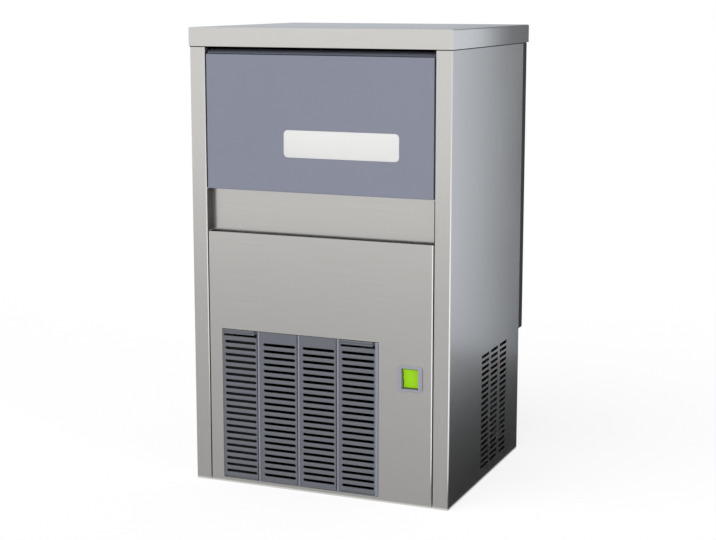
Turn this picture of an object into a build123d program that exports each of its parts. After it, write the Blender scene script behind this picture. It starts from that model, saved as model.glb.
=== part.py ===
from build123d import *
import math
import os

os.makedirs("parts", exist_ok=True)

# Under-counter ice cube machine, in millimetres.
# Seen from the front: +X right, -Y towards the viewer, +Z up. Origin at the bottom centre of the outer box.

# Cabinet, folded from stainless sheet
WIDTH = 387.0
HEIGHT = 650.0
BODY_DEPTH = 320.0
SHEET = 1.0
BEND = 2.0
STILE_WIDTH = 23.4
STILE_RETURN = 14.0
LID_SKIRT = 26.0
LID_SIDE_LAP = 1.0
LID_FRONT_LAP = 2.0
LID_SEAM = 1.4
SHELL_STAND_OUT = 26.0
PANEL_GAP = 1.2
SEAT = 0.3
SHELL_SEAM = 0.6

# Lower front panel and the recessed apron above it
PANEL_TOP = 365.0
PANEL_HEM = 12.0
PANEL_EDGE = 10.0
APRON_TOP = 440.0
APRON_SHADOW_GAP = 2.0
APRON_LEDGE_DROP = 1.5

# Base pan, feet sockets and rear panel
PAN_SHEET = 1.5
PAN_EDGE = 15.0
FOOT_INSET_X = 28.5
FOOT_INSET_FRONT = 32.0
FOOT_INSET_REAR = 30.0
FOOT_THREAD_R = 4.0
FOOT_BOSS_R = 8.0
FOOT_BOSS_H = 14.0
REAR_PANEL_TOP = 192.6
REAR_FLANGE = 12.0
SCREW_R = 2.0
SCREW_HEAD_R = 4.0
SCREW_LOW_Z = 20.0
BAR_SHEET = 1.5
BAR_WIDTH = 25.0
BAR_LIP = 12.0

# Side and rear vents
VENT_ROWS = 20
VENT_PITCH = 8.6
VENT_SLOT = 4.8
VENT_FIRST_Z = 20.0
VENT_COLUMNS = ((140.5, 34.5), (182.5, 34.0), (226.0, 32.5))
REAR_VENT_ROWS = 9
REAR_VENT_COLUMNS = 4
REAR_VENT_LENGTH = 34.0
REAR_VENT_STEP = 43.0
REAR_VENT_INSET = 7.5
REAR_VENT_Z = 20.0

# Insulated bin
FOAM_FRONT_GAP = 34.0
FOAM_FRONT = 25.0
FOAM_SIDE = 31.0
FOAM_REAR = 21.0
FOAM_FLOOR = 25.0
FOAM_UNDER_FRONT = 232.0
FOAM_UNDER_REAR = 192.8
LINER = 2.5
LINER_RADIUS = 14.0
SILL_TOP = 442.0
MOUTH_DROP = 66.0
MOUTH_SIDE = 12.0
LID_PAD = 9.0
SHELL_WALL = 2.5
SHELL_BOTTOM = 190.0
SHELL_RADIUS = 10.0
LEDGE_DROP = 202.0
LEDGE_WIDTH = 9.0
LEDGE_HEIGHT = 8.0
FLANGE = 10.0
WAY_X = 176.0
WAY_SLOT = 28.0
WATER_WAY_INSET = 18.0
WATER_WAY_R = 6.0
GAS_WAY_INSET = 20.0
GAS_WAY_R = 13.0

# Door
DOOR_BOTTOM = 426.0
DOOR_FACE_DROP = 36.5
DOOR_SIDE_GAP = 1.8
DOOR_WALL = 2.5
DOOR_DEPTH = 12.0
DOOR_EDGE_R = 1.2
PIVOT_BACK = 20.0
PIVOT_DROP = 52.5
ROLL_R = 23.0
ROLL_CLEARANCE = 2.6
BOSS_R = 7.0
BOSS_LENGTH = 6.0
BLOCK_HALF = 12.5
PIN_R = 4.0
PIN_CLEARANCE = 0.05
LINING_BULGE = 9.0
LINING_WALL = 2.0
LINING_DROP = 78.0
LABEL_WIDTH = 169.4
LABEL_HEIGHT = 37.6
LABEL_X = 34.7
LABEL_Z = 493.0
LABEL_R = 6.0
LABEL_RECESS = 1.0
BUMPER_R = 5.0
BUMPER_INSET = 14.0

# Front grille
GRILLE_LEFT = -148.3
GRILLE_RIGHT = 90.2
GRILLE_BOTTOM = 7.8
GRILLE_TOP = 225.8
GRILLE_FIT = 0.6
GRILLE_LIP = 7.0
GRILLE_WALL = 2.2
GRILLE_PROUD = 0.3
GRILLE_SKIRT = 8.0
RIM_WIDTH = 4.2
RIM_PROUD = 1.0
RIB_WIDTH = 2.6
RIB_GROOVE = 1.0
SKIRT_WALL = 1.5
SLOT_ROWS = 22
SLOT_PITCH = 9.51
SLOT_HEIGHT = 3.6
SLOT_FIRST_Z = 207.8
SLOT_COLUMNS = ((-144.6, 48.6), (-84.1, 49.1), (-23.4, 48.0), (35.9, 48.4))
RIB_X = (-91.2, -29.2, 30.4)
LATCH_HEIGHT = 7.2
LATCH_GAP = 2.2
LATCH_SIDE_GAP = 1.5
LATCH_FLANGE = 1.6
LATCH_WING = 1.2
RAIL = 1.5
HOOK_WIDTH = 30.0
HOOK_SHEET = 1.8
HOOK_LOW = 2.5
FILTER_DEPTH = 4.0
FILTER_BAR = 4.0
MESH = 0.8

# Rocker switch
SWITCH_X = 137.0
SWITCH_Z = 179.3
BEZEL = 36.0
BEZEL_PROUD = 2.0
SWITCH_BODY = (29.0, 32.5)
SWITCH_DEPTH = 28.0
ROCKER = (23.6, 27.0)
ROCKER_GAP = 0.4
ROCKER_AXLE_BACK = 5.0
ROCKER_WELL_R = 14.9
ROCKER_TILT = 7.0
AXLE_R = 2.0

# Refrigeration in the lower compartment
COIL_X = (-140.0, 60.0)
COIL_Z = (18.0, 218.0)
COIL_BACK = 17.0
COIL_DEPTH = 38.0
FIN_COUNT = 21
FIN_SHEET = 0.5
TUBE_R = 4.75
TUBE_ROWS = 4
COIL_END_X = 66.0
SHROUD_SHEET = 1.0
SHROUD_GAP = 1.0
SHROUD_RING = 22.0
FAN_X = -40.0
FAN_Z = 118.0
FAN_R = 80.0
FAN_TIP_GAP = 4.0
FAN_WIDTH = 18.0
FAN_BLADES = 5
HUB_R = 17.0
SHAFT_R = 3.0
MOTOR_R = 30.0
MOTOR_LENGTH = 42.0
COMP_X = 112.0
COMP_INSET = 102.0
COMP_R = 56.0
COMP_HEIGHT = 150.0
GROMMET_R = 9.0
GROMMET_H = 13.0
DRIER_R = 9.5
DRIER_LENGTH = 90.0
DRIER_X = 172.0
DRIER_Y = -60.0
DRIER_Z = 60.0
PIPE_X = 100.0
DISCHARGE_R = 4.0
DISCHARGE_Y = -40.0
DISCHARGE_Z = 120.0
SUCTION_Z = 120.0
LIQUID_Z = 185.0
CAPILLARY_R = 1.5

# Ice making unit inside the bin
UNIT_FRONT = 166.0
UNIT_CORNER = 12.0
TANK_HEIGHT = 62.0
TANK_WALL = 3.0
FRAME_WALL = 3.0
CUP_COLUMNS = 4
CUP_PITCH = 42.0
CUP_FIELD_EDGE = 6.0
CUP_TOP_R = 14.0
CUP_MOUTH_R = 17.0
CUP_DEPTH = 26.0
CUP_WALL = 1.5
EVAPORATOR_DROP = 60.0
EVAPORATOR_SHEET = 2.0
SPRAY_R = 6.0
SPRAY_DROP = 122.0
CHUTE_DROP = 114.0
CHUTE_RISE = 32.0
SLAT = (3.0, 8.0)
CURTAIN_ROD_R = 3.0
CURTAIN_FLAPS = 4
FLAP_SHEET = 2.0
FLAP_DROP = 62.0
FLAP_GAP = 2.0
PUMP_R = 22.0
PUMP_NECK_R = 18.0
PUMP_X = 125.0
PUMP_INSET = 29.4
PUMP_DROP = 100.0
ROD_DROP = 50.0
ROD_SET_FORWARD = 4.0
COIL_HALF = 80.0
SUCTION_X = 105.0
FEED_X = 110.0
FEED_INSET = 36.0
FEED_DROP = 17.0

# Services at the back
INLET_X = -150.0
INLET_Z = 150.0
INLET_R = 13.2
INLET_STUB = 15.0
STUB_NECK = 1.0
INLET_RISE_Z = 181.0
VALVE_DEPTH = 40.0
WATER_PIPE_R = 3.5
SPOUT_X = -125.0
SPOUT_DROP = 20.0
DRAIN_X = -70.0
DRAIN_Z = 42.0
DRAIN_R = 12.0
DRAIN_STUB = 20.0
DRAIN_SHOULDER = 2.0
SPIGOT_R = 10.0
PIPE_WALL = 2.5
DRAIN_TOP_INSET = 48.0
DRAIN_TOP_Z = 224.5
GLAND_X = 120.0
GLAND_Z = 150.0
GLAND_R = 11.0
GLAND_BORE_R = 4.5
GLAND_STUB = 12.0
CONTROL_X = -150.0
CONTROL_Y = (-112.0, -38.0)
CONTROL_Z = (60.0, 180.0)

# Planes and levels worked out from the sizes above
DEPTH = LID_FRONT_LAP + BODY_DEPTH + SHELL_STAND_OUT
Y_FRONT = -DEPTH / 2
Y_FACE = Y_FRONT + LID_FRONT_LAP
Y_BODY_REAR = Y_FACE + BODY_DEPTH
Y_BACK = DEPTH / 2
X_OUT = WIDTH / 2
X_IN = X_OUT - SHEET
X_STILE = X_OUT - STILE_WIDTH
Z_SKIRT = HEIGHT - LID_SKIRT
Z_STILE = Z_SKIRT - LID_SEAM
Z_LID_UNDER = HEIGHT - SHEET
Z_PAD = Z_LID_UNDER - LID_PAD
MOUTH_TOP = HEIGHT - MOUTH_DROP
LEDGE_TOP = HEIGHT - LEDGE_DROP
DOOR_FACE_TOP = HEIGHT - DOOR_FACE_DROP
PIVOT_Z = HEIGHT - PIVOT_DROP
LINING_TOP = HEIGHT - LINING_DROP
EVAPORATOR_Z = HEIGHT - EVAPORATOR_DROP
SPRAY_Z = HEIGHT - SPRAY_DROP
CHUTE_Z = HEIGHT - CHUTE_DROP
PUMP_TOP = HEIGHT - PUMP_DROP
ROD_Z = HEIGHT - ROD_DROP
FEED_Z = HEIGHT - FEED_DROP
SPOUT_Z = HEIGHT - SPOUT_DROP
WATER_WAY_Y = Y_BODY_REAR - WATER_WAY_INSET
GAS_WAY_Y = Y_BODY_REAR - GAS_WAY_INSET
DRAIN_TOP_Y = Y_BODY_REAR - DRAIN_TOP_INSET
COMP_Y = Y_BODY_REAR - COMP_INSET
Y_PANEL_BACK = Y_FACE + SHEET
Y_APRON = Y_FACE + STILE_RETURN
Y_FOAM = Y_FACE + FOAM_FRONT_GAP
Y_FOAM_BACK = Y_BACK - SHELL_WALL - SEAT
X_FOAM = X_IN - SEAT
Y_DOOR_BACK = Y_FACE + DOOR_DEPTH
PIVOT_Y = Y_FACE + PIVOT_BACK
DOOR_X = X_STILE - DOOR_SIDE_GAP
CAVITY_X = X_IN - FOAM_SIDE
CAVITY_FRONT = Y_FOAM + FOAM_FRONT
CAVITY_BACK = Y_FOAM_BACK - FOAM_REAR
INNER_X = CAVITY_X - LINER
INNER_FRONT = CAVITY_FRONT + LINER
INNER_BACK = CAVITY_BACK - LINER
UNIT_X = INNER_X - SEAT
UNIT_BACK = INNER_BACK - SEAT
UNIT_Y = Y_FACE + UNIT_FRONT
TANK_Z = LEDGE_TOP
TANK_TOP = TANK_Z + TANK_HEIGHT
CUP_BASE = EVAPORATOR_Z + CUP_DEPTH
Y_REAR_PANEL = Y_BODY_REAR - SHEET
Y_GRILLE_BACK = Y_FACE - GRILLE_PROUD + GRILLE_WALL
ROCKER_Y = Y_FACE + ROCKER_AXLE_BACK
COIL_FRONT = Y_FACE + COIL_BACK
COIL_REAR = COIL_FRONT + COIL_DEPTH
COIL_MID = (COIL_FRONT + COIL_REAR) / 2
SHROUD_Y = COIL_REAR + SHROUD_GAP
FAN_Y = SHROUD_Y + FAN_WIDTH / 2 + 5
MOTOR_Y = FAN_Y + FAN_WIDTH / 2 + 7
CUPS_Y = (UNIT_Y + UNIT_BACK) / 2
CUP_ROWS = int((UNIT_BACK - UNIT_Y - 2 * CUP_FIELD_EDGE) // CUP_PITCH)
PUMP_Y = UNIT_BACK - PUMP_INSET
FEED_Y = UNIT_Y + FEED_INSET
COIL_TOP_Z = CUP_BASE + EVAPORATOR_SHEET + TUBE_R
ROD_Y = UNIT_Y - ROD_SET_FORWARD
SUCTION_Y = GAS_WAY_Y + 1


def block(x0, x1, y0, y1, z0, z1):
    """Box between two opposite corners."""
    size = Box(x1 - x0, y1 - y0, z1 - z0)
    return Pos((x0 + x1) / 2, (y0 + y1) / 2, (z0 + z1) / 2) * size


def rod_x(x0, x1, y, z, r):
    """Round bar along X."""
    return Pos((x0 + x1) / 2, y, z) * Rot(0, 90, 0) * Cylinder(r, x1 - x0)


def rod_y(y0, y1, x, z, r):
    """Round bar along Y."""
    return Pos(x, (y0 + y1) / 2, z) * Rot(90, 0, 0) * Cylinder(r, y1 - y0)


def rod_z(z0, z1, x, y, r):
    """Round bar along Z."""
    return Pos(x, y, (z0 + z1) / 2) * Cylinder(r, z1 - z0)


def bent_sheet(points, thickness, radius, side=Side.RIGHT):
    """Section of a folded sheet: a line with rounded corners, thickened to one side."""
    line = Wire(FilletPolyline(*points, radius=radius).edges())
    return Face(line.offset_2d(thickness, side=side, kind=Kind.ARC))


def tube(points, radius, bend):
    """Round bar or pipe along straight runs joined by arcs."""
    path = FilletPolyline(*points, radius=bend)
    section = Plane(origin=path @ 0, z_dir=path % 0) * Circle(radius)
    return sweep(section, path)


def along_x(section, half):
    """Sweep a section drawn in Y and Z across the width, from -half to +half."""
    return Pos(-half, 0, 0) * extrude(section, 2 * half, dir=(1, 0, 0))


def outline_yz(points):
    """Closed outline drawn in Y and Z."""
    return Plane.YZ * make_face(Polyline(*points, close=True))


def mirrored(shape):
    """The same piece on the left-hand side."""
    return mirror(shape, about=Plane.YZ)


def save(name, shape):
    """Write one sub-part as its own STEP file."""
    solids = shape.solids()
    body = solids[0] if len(solids) == 1 else Compound(children=solids)
    body.label = name
    export_step(body, f"parts/{name}.step")


def under_bin(y):
    """Level of the sloped underside of the bin at a depth y."""
    share = (min(y, Y_BODY_REAR) - Y_FOAM) / (Y_BODY_REAR - Y_FOAM)
    return FOAM_UNDER_FRONT + share * (FOAM_UNDER_REAR - FOAM_UNDER_FRONT)


# Cabinet

def top_lid():
    """Lid pressed as a shallow tray, open below."""
    x = X_OUT + LID_SIDE_LAP
    outer = block(-x, x, Y_FRONT, Y_BACK, Z_SKIRT, HEIGHT)
    outer = fillet(outer.edges().filter_by(Axis.Z), BEND)
    outer = fillet(outer.faces().sort_by(Axis.Z)[-1].edges(), BEND)
    inner = block(-x + SHEET, x - SHEET, Y_FRONT + SHEET, Y_BACK - SHEET, Z_SKIRT, HEIGHT - SHEET)
    inner = fillet(inner.edges().filter_by(Axis.Z), BEND - SHEET / 2)
    inner = fillet(inner.faces().sort_by(Axis.Z)[-1].edges(), BEND - SHEET / 2)
    return outer - inner


def side_vents():
    """Cutters for the horizontal slots low in a side panel."""
    cutters = []
    for offset, length in VENT_COLUMNS:
        y0 = Y_FACE + offset
        for row in range(VENT_ROWS):
            z = VENT_FIRST_Z + row * VENT_PITCH
            half = VENT_SLOT / 2
            cutters.append(block(X_IN - BEND, X_OUT + BEND, y0, y0 + length, z - half, z + half))
    return cutters


def side_panel():
    """Right side: outer wall, front stile, stile return, and a rear flange beside the rear panel."""
    corners = [(X_OUT, Y_BODY_REAR), (X_OUT, Y_FACE), (X_STILE, Y_FACE), (X_STILE, Y_APRON)]
    panel = extrude(bent_sheet(corners, SHEET, BEND), Z_STILE, dir=(0, 0, 1))
    flange = block(X_OUT - REAR_FLANGE, X_IN, Y_BODY_REAR - SHEET, Y_BODY_REAR, 0, REAR_PANEL_TOP)
    return panel + flange - side_vents() - screw_holes()


def front_panel():
    """Lower front panel with folded sides, a hemmed top, the grille cut-out and the switch hole."""
    x, y = X_STILE - PANEL_GAP, Y_FACE
    corners = [(x, y + PANEL_EDGE), (x, y), (-x, y), (-x, y + PANEL_EDGE)]
    panel = Pos(0, 0, SEAT) * extrude(bent_sheet(corners, SHEET, BEND), PANEL_TOP - SEAT, dir=(0, 0, 1))
    hem_x = x - SHEET - BEND
    hem = block(-hem_x, hem_x, Y_PANEL_BACK, Y_PANEL_BACK + SHEET, PANEL_TOP - PANEL_HEM, PANEL_TOP)
    left, right = GRILLE_LEFT - GRILLE_FIT, GRILLE_RIGHT + GRILLE_FIT
    cut_out = block(left, right, y - BEND, y + BEND, GRILLE_LIP, GRILLE_TOP + GRILLE_FIT)
    half_w, half_h = SWITCH_BODY[0] / 2 + SEAT, SWITCH_BODY[1] / 2 + SEAT
    hole = block(SWITCH_X - half_w, SWITCH_X + half_w, y - BEND, y + BEND, SWITCH_Z - half_h, SWITCH_Z + half_h)
    return panel + hem - cut_out - hole


def apron():
    """Finger recess: forward ledge, upright sheet, and a top flange that reaches the bin sill."""
    front = Y_PANEL_BACK + SHEET + APRON_SHADOW_GAP
    ledge = PANEL_TOP - APRON_LEDGE_DROP
    rear = Y_FOAM - LINER - SEAT
    points = [(front, ledge), (Y_APRON, ledge), (Y_APRON, APRON_TOP), (rear, APRON_TOP)]
    sheet = along_x(Plane.YZ * bent_sheet(points, SHEET, BEND), X_STILE - SEAT)
    edge_x, edge_y = X_STILE - PANEL_GAP - SHEET - SEAT, Y_FACE + PANEL_EDGE + SEAT
    notch = block(edge_x, X_STILE, front - 1, edge_y, ledge - BEND, PANEL_TOP)
    return sheet - notch - mirrored(notch)


def foot_places():
    """The four foot sockets, as (x, y)."""
    x = X_OUT - FOOT_INSET_X
    return [(sx * x, y) for sx in (-1, 1) for y in (Y_FACE + FOOT_INSET_FRONT, Y_BODY_REAR - FOOT_INSET_REAR)]


def base_pan():
    """Flat pan with upturned edges; the foot inserts sit in its four holes."""
    front, rear = Y_APRON + 2 * SEAT, Y_REAR_PANEL - SHEET - SEAT
    pan = block(-X_IN, X_IN, front, rear, 0, PAN_EDGE)
    pan -= block(
        -X_IN + PAN_SHEET, X_IN - PAN_SHEET, front + PAN_SHEET, rear - PAN_SHEET, PAN_SHEET, PAN_EDGE + BEND
    )
    return pan - [rod_z(-1, PAN_EDGE, x, y, FOOT_BOSS_R) for x, y in foot_places()]


def foot_inserts():
    """Threaded sockets for screw-in feet, flush with the underside."""
    return Compound(children=[
        rod_z(0, FOOT_BOSS_H, x, y, FOOT_BOSS_R) - rod_z(-1, FOOT_BOSS_H + 1, x, y, FOOT_THREAD_R)
        for x, y in foot_places()
    ])


def screw_places():
    """Screws that hold the rear panel to the side flanges, as (x, z)."""
    x = X_OUT - REAR_FLANGE / 2
    return [(sx * x, z) for sx in (-1, 1) for z in (SCREW_LOW_Z, REAR_PANEL_TOP / 2, REAR_PANEL_TOP - SCREW_LOW_Z)]


def screw_holes():
    """Cutters for the rear panel screws."""
    return [rod_y(Y_REAR_PANEL - SHEET - BEND, Y_BODY_REAR + BEND, x, z, SCREW_R) for x, z in screw_places()]


def panel_screws():
    """Pan-head screws through the side flanges into the rear panel."""
    screws = []
    for x, z in screw_places():
        shank = rod_y(Y_REAR_PANEL - SHEET - BEND, Y_BODY_REAR, x, z, SCREW_R)
        head = Pos(x, Y_BODY_REAR, z) * Rot(-90, 0, 0) * Cone(
            SCREW_HEAD_R, SCREW_HEAD_R * 0.6, SCREW_R, align=(Align.CENTER, Align.CENTER, Align.MIN)
        )
        screws.append(shank + head)
    return Compound(children=screws)


def rear_panel():
    """Lower rear panel with vents, a top flange under the bin and holes for the connections."""
    x = X_IN - SEAT
    top = REAR_PANEL_TOP
    panel = block(-x, x, Y_REAR_PANEL - SHEET, Y_REAR_PANEL, PAN_SHEET + SEAT, top)
    panel += block(-x, x, Y_REAR_PANEL - REAR_FLANGE, Y_REAR_PANEL, top - SHEET, top)
    cutters = screw_holes()
    for column in range(REAR_VENT_COLUMNS):
        x0 = X_OUT - REAR_VENT_INSET - (column + 1) * REAR_VENT_STEP
        for row in range(REAR_VENT_ROWS):
            z = REAR_VENT_Z + row * VENT_PITCH
            y = Y_REAR_PANEL
            half = VENT_SLOT / 2
            cutters.append(block(x0, x0 + REAR_VENT_LENGTH, y - BEND, y + BEND, z - half, z + half))
    for px, pz, r in ((INLET_X, INLET_Z, INLET_R), (DRAIN_X, DRAIN_Z, DRAIN_R), (GLAND_X, GLAND_Z, GLAND_R)):
        cutters.append(rod_y(Y_REAR_PANEL - BEND, Y_REAR_PANEL + BEND, px, pz, r + SEAT))
    return panel - cutters


def bin_bar():
    """Angle bar between the side panels that carries the front of the bin."""
    front, rear = Y_FOAM - SEAT - BAR_SHEET, Y_FOAM + BAR_WIDTH
    top = under_bin(rear) - SEAT
    shelf = block(-X_IN, X_IN, front, rear, top - BAR_SHEET, top)
    lip = block(-X_IN, X_IN, front, front + BAR_SHEET, top - BAR_SHEET, top + BAR_LIP)
    return shelf + lip


# Insulated bin

def tub(wall):
    """Space inside the bin, drawn in by a wall: a sloped floor, rounded corners, and the door mouth."""
    x, front, rear = CAVITY_X - wall, CAVITY_FRONT + wall, CAVITY_BACK - wall
    floor_front = under_bin(CAVITY_FRONT) + FOAM_FLOOR + wall
    floor_rear = under_bin(CAVITY_BACK) + FOAM_FLOOR + wall
    section = outline_yz([(front, floor_front), (rear, floor_rear), (rear, Z_PAD), (front, Z_PAD)])
    space = along_x(section, x)
    space = fillet(space.edges().filter_by(Axis.Z), LINER_RADIUS - wall)
    mouth_x = CAVITY_X - MOUTH_SIDE - wall
    mouth = block(
        -mouth_x, mouth_x, Y_FOAM - LINER, front + LINER_RADIUS, SILL_TOP - LINER + wall, MOUTH_TOP + LINER - wall
    )
    return space + mouth


def service_ways():
    """Bores and top slots in the bin's walls for the water pipe on the left and the refrigerant pipes on the right."""
    slot_z = Z_PAD - WAY_SLOT
    ways = []
    for x, y, r in ((-WAY_X, WATER_WAY_Y, WATER_WAY_R), (WAY_X, GAS_WAY_Y, GAS_WAY_R)):
        ways.append(rod_z(FOAM_UNDER_REAR - SEAT, Z_PAD, x, y, r))
        inner = math.copysign(INNER_X - SEAT, x)
        ways.append(block(min(x, inner), max(x, inner), y - r, y + r, slot_z, Z_PAD))
    return ways


def drain_hole():
    """Cutter for the drain pipe through the bin floor."""
    return rod_z(SHELL_BOTTOM, SILL_TOP - FOAM_FLOOR, DRAIN_X, DRAIN_TOP_Y, DRAIN_R)


def bin_insulation():
    """Foamed walls around the bin, cut back at the top front for the rolled door top."""
    top_front = PIVOT_Y + ROLL_R + ROLL_CLEARANCE
    notch = PIVOT_Z - ROLL_R - ROLL_CLEARANCE
    section = outline_yz([
        (Y_FOAM, FOAM_UNDER_FRONT), (Y_BODY_REAR, FOAM_UNDER_REAR), (Y_BODY_REAR, Z_PAD),
        (top_front, Z_PAD), (top_front, notch), (Y_FOAM, notch),
    ])
    x = X_OUT - SHELL_WALL - SEAT
    bulge = block(-x, x, Y_BODY_REAR - BEND, Y_FOAM_BACK, FOAM_UNDER_REAR + SEAT, Z_PAD)
    rear = bulge.faces().sort_by(Axis.Y)[-1].edges()
    bulge = fillet(rear.filter_by(Axis.Z) + rear.filter_by(Axis.X).sort_by(Axis.Z)[:1], SHELL_RADIUS - SHELL_WALL)
    return along_x(section, X_FOAM) + bulge - tub(0) - service_ways() - drain_hole()


def bin_liner():
    """Thermoformed inner skin with a mouth flange and two ledges for the ice making unit."""
    liner = tub(0) - tub(LINER)
    mouth_x = CAVITY_X - MOUTH_SIDE
    flange = block(
        -mouth_x - FLANGE, mouth_x + FLANGE, Y_FOAM - LINER, Y_FOAM,
        SILL_TOP - LINER - FLANGE, MOUTH_TOP + LINER + FLANGE / 4,
    )
    liner += flange
    liner -= block(-mouth_x + LINER, mouth_x - LINER, Y_FOAM - 2 * LINER, INNER_FRONT + LINER, SILL_TOP, MOUTH_TOP)
    for side in (-1, 1):
        x0, x1 = sorted((side * (INNER_X - LEDGE_WIDTH), side * (INNER_X + LINER / 2)))
        liner += block(x0, x1, UNIT_Y, INNER_BACK - LINER_RADIUS, LEDGE_TOP - LEDGE_HEIGHT, LEDGE_TOP)
    header_front, header_low = PIVOT_Y + ROLL_R + ROLL_CLEARANCE, PIVOT_Z - ROLL_R - ROLL_CLEARANCE
    liner -= block(-X_OUT, X_OUT, Y_FACE, header_front, header_low, Z_PAD)
    return liner - service_ways() - drain_hole()


def lid_insulation():
    """Foam pad between the bin and the lid."""
    front = PIVOT_Y + ROLL_R + ROLL_CLEARANCE
    return block(-X_FOAM + SEAT, X_FOAM - SEAT, front, Y_FOAM_BACK, Z_PAD, Z_LID_UNDER)


def rear_shell():
    """Black moulded cap over the back of the bin, with rounded outer edges."""
    front = Y_BODY_REAR + SEAT
    top = Z_SKIRT - SHELL_SEAM
    outer = block(-X_OUT, X_OUT, front, Y_BACK, SHELL_BOTTOM, top)
    back = outer.faces().sort_by(Axis.Y)[-1]
    edges = back.edges().filter_by(Axis.Z) + back.edges().filter_by(Axis.X).sort_by(Axis.Z)[:1]
    outer = fillet(edges, SHELL_RADIUS)
    x = X_OUT - SHELL_WALL
    inner = block(-x, x, front, Y_BACK - SHELL_WALL, SHELL_BOTTOM + SHELL_WALL, top)
    back = inner.faces().sort_by(Axis.Y)[-1]
    edges = back.edges().filter_by(Axis.Z) + back.edges().filter_by(Axis.X).sort_by(Axis.Z)[:1]
    return outer - fillet(edges, SHELL_RADIUS - SHELL_WALL)


# Door

def door_section(inset):
    """Door in section: flat face, and a roll about the pivot at the top."""
    face = make_face(Polyline(
        (Y_FACE + inset, DOOR_BOTTOM + inset), (Y_DOOR_BACK - inset, DOOR_BOTTOM + inset),
        (Y_DOOR_BACK - inset, DOOR_FACE_TOP - inset), (Y_FACE + inset, DOOR_FACE_TOP - inset), close=True,
    ))
    roll = Pos(PIVOT_Y, PIVOT_Z) * Circle(ROLL_R - inset)
    front_of_face = Pos(Y_FACE + inset - ROLL_R, PIVOT_Z) * Rectangle(2 * ROLL_R, 4 * ROLL_R)
    return Plane.YZ * (face + (roll - front_of_face))


def label_outline(grow):
    """Rounded outline of the bare label plate on the door face."""
    shape = RectangleRounded(LABEL_WIDTH + 2 * grow, LABEL_HEIGHT + 2 * grow, LABEL_R + grow)
    return Plane(origin=(LABEL_X, Y_FACE + LABEL_RECESS, LABEL_Z), x_dir=(1, 0, 0), z_dir=(0, -1, 0)) * shape


def door_outer():
    """Moulded door skin with end cheeks, pivot bosses, the rolled top and the label recess."""
    skin = along_x(door_section(0), DOOR_X)
    front = skin.faces().filter_by(Axis.Y).sort_by(Axis.Y)[0]
    skin = fillet(front.edges(), DOOR_EDGE_R)
    x = DOOR_X - DOOR_WALL
    skin -= along_x(door_section(DOOR_WALL), x)
    skin -= block(-x, x, Y_FACE + DOOR_WALL, PIVOT_Y + PIN_R, DOOR_BOTTOM + DOOR_WALL, LINING_TOP + SEAT)
    for side in (-1, 1):
        x0, x1 = sorted((side * (x - BOSS_LENGTH), side * (x + DOOR_WALL / 2)))
        skin += rod_x(x0, x1, PIVOT_Y, PIVOT_Z, BOSS_R)
    skin -= rod_x(-X_OUT, X_OUT, PIVOT_Y, PIVOT_Z, PIN_R + PIN_CLEARANCE)
    return skin - extrude(label_outline(0.15), LABEL_RECESS + BEND)


def door_label():
    """Bare rounded plate set into the door face."""
    return extrude(label_outline(0), LABEL_RECESS + 0.2)


def door_inner():
    """Door lining: flat sheet with a hollow raised field that reaches towards the bin mouth."""
    x = DOOR_X - DOOR_WALL - SEAT
    rear = Y_DOOR_BACK
    bottom = DOOR_BOTTOM + DOOR_WALL + SEAT
    sheet = block(-x, x, rear - LINING_WALL, rear, bottom, LINING_TOP)
    low, high = SILL_TOP + MOUTH_SIDE / 2, LINING_TOP - LINING_WALL - SEAT
    width = 2 * (CAVITY_X - 2 * MOUTH_SIDE)
    plane = Plane(origin=(0, rear - LINING_WALL, (low + high) / 2), x_dir=(-1, 0, 0), z_dir=(0, 1, 0))
    wall = LINING_WALL
    field = extrude(plane * RectangleRounded(width, high - low, 12), LINING_BULGE + wall, taper=25)
    hollow = extrude(
        plane * RectangleRounded(width - 2 * wall, high - low - 2 * wall, 12 - wall), LINING_BULGE, taper=25
    )
    return sheet + field - hollow


def door_bumpers():
    """Rubber pads on the lining that meet the apron when the door is shut."""
    z = DOOR_BOTTOM + DOOR_WALL + BUMPER_R + 1
    pads = [rod_y(Y_DOOR_BACK, Y_APRON - SEAT, side * (DOOR_X - BUMPER_INSET), z, BUMPER_R) for side in (-1, 1)]
    return Compound(children=pads)


def hinge_block():
    """Bearing block inside the right stile, with a bored boss beside the door cheek."""
    front = Y_FACE + SHEET + SEAT
    left, right = X_STILE + SHEET + SEAT, X_IN - SEAT
    body = block(left, right, front, Y_FOAM - 3, PIVOT_Z - BLOCK_HALF, PIVOT_Z + BLOCK_HALF)
    boss = rod_x(DOOR_X + SEAT, X_STILE + SHEET + 2 * SEAT, PIVOT_Y, PIVOT_Z, PIN_R + 1.5)
    return body + boss - rod_x(DOOR_X, X_IN - BEND, PIVOT_Y, PIVOT_Z, PIN_R)


def hinge_pin():
    """Steel pin in the right block that the door turns on."""
    pin = rod_x(DOOR_X - DOOR_WALL - BOSS_LENGTH + 1, X_IN - BEND, PIVOT_Y, PIVOT_Z, PIN_R)
    return chamfer(pin.edges().group_by(Axis.X)[0], 0.6)


# Front grille

def grille_slots():
    """Cutters for the horizontal slots: full columns at both sides, one row fewer in the middle two."""
    cutters = []
    front, rear = Y_FACE - 2 * GRILLE_PROUD, Y_GRILLE_BACK + GRILLE_PROUD
    for index, (x0, length) in enumerate(SLOT_COLUMNS):
        outer = index in (0, len(SLOT_COLUMNS) - 1)
        for row in range(SLOT_ROWS if outer else SLOT_ROWS - 1):
            z = SLOT_FIRST_Z - row * SLOT_PITCH
            cutters.append(block(x0, x0 + length, front, rear, z - SLOT_HEIGHT / 2, z + SLOT_HEIGHT / 2))
    return cutters


def latch_columns():
    """The two slot columns that carry a latch tab, as (x0, x1)."""
    return [(x0, x0 + length) for x0, length in (SLOT_COLUMNS[0], SLOT_COLUMNS[-1])]


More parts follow.
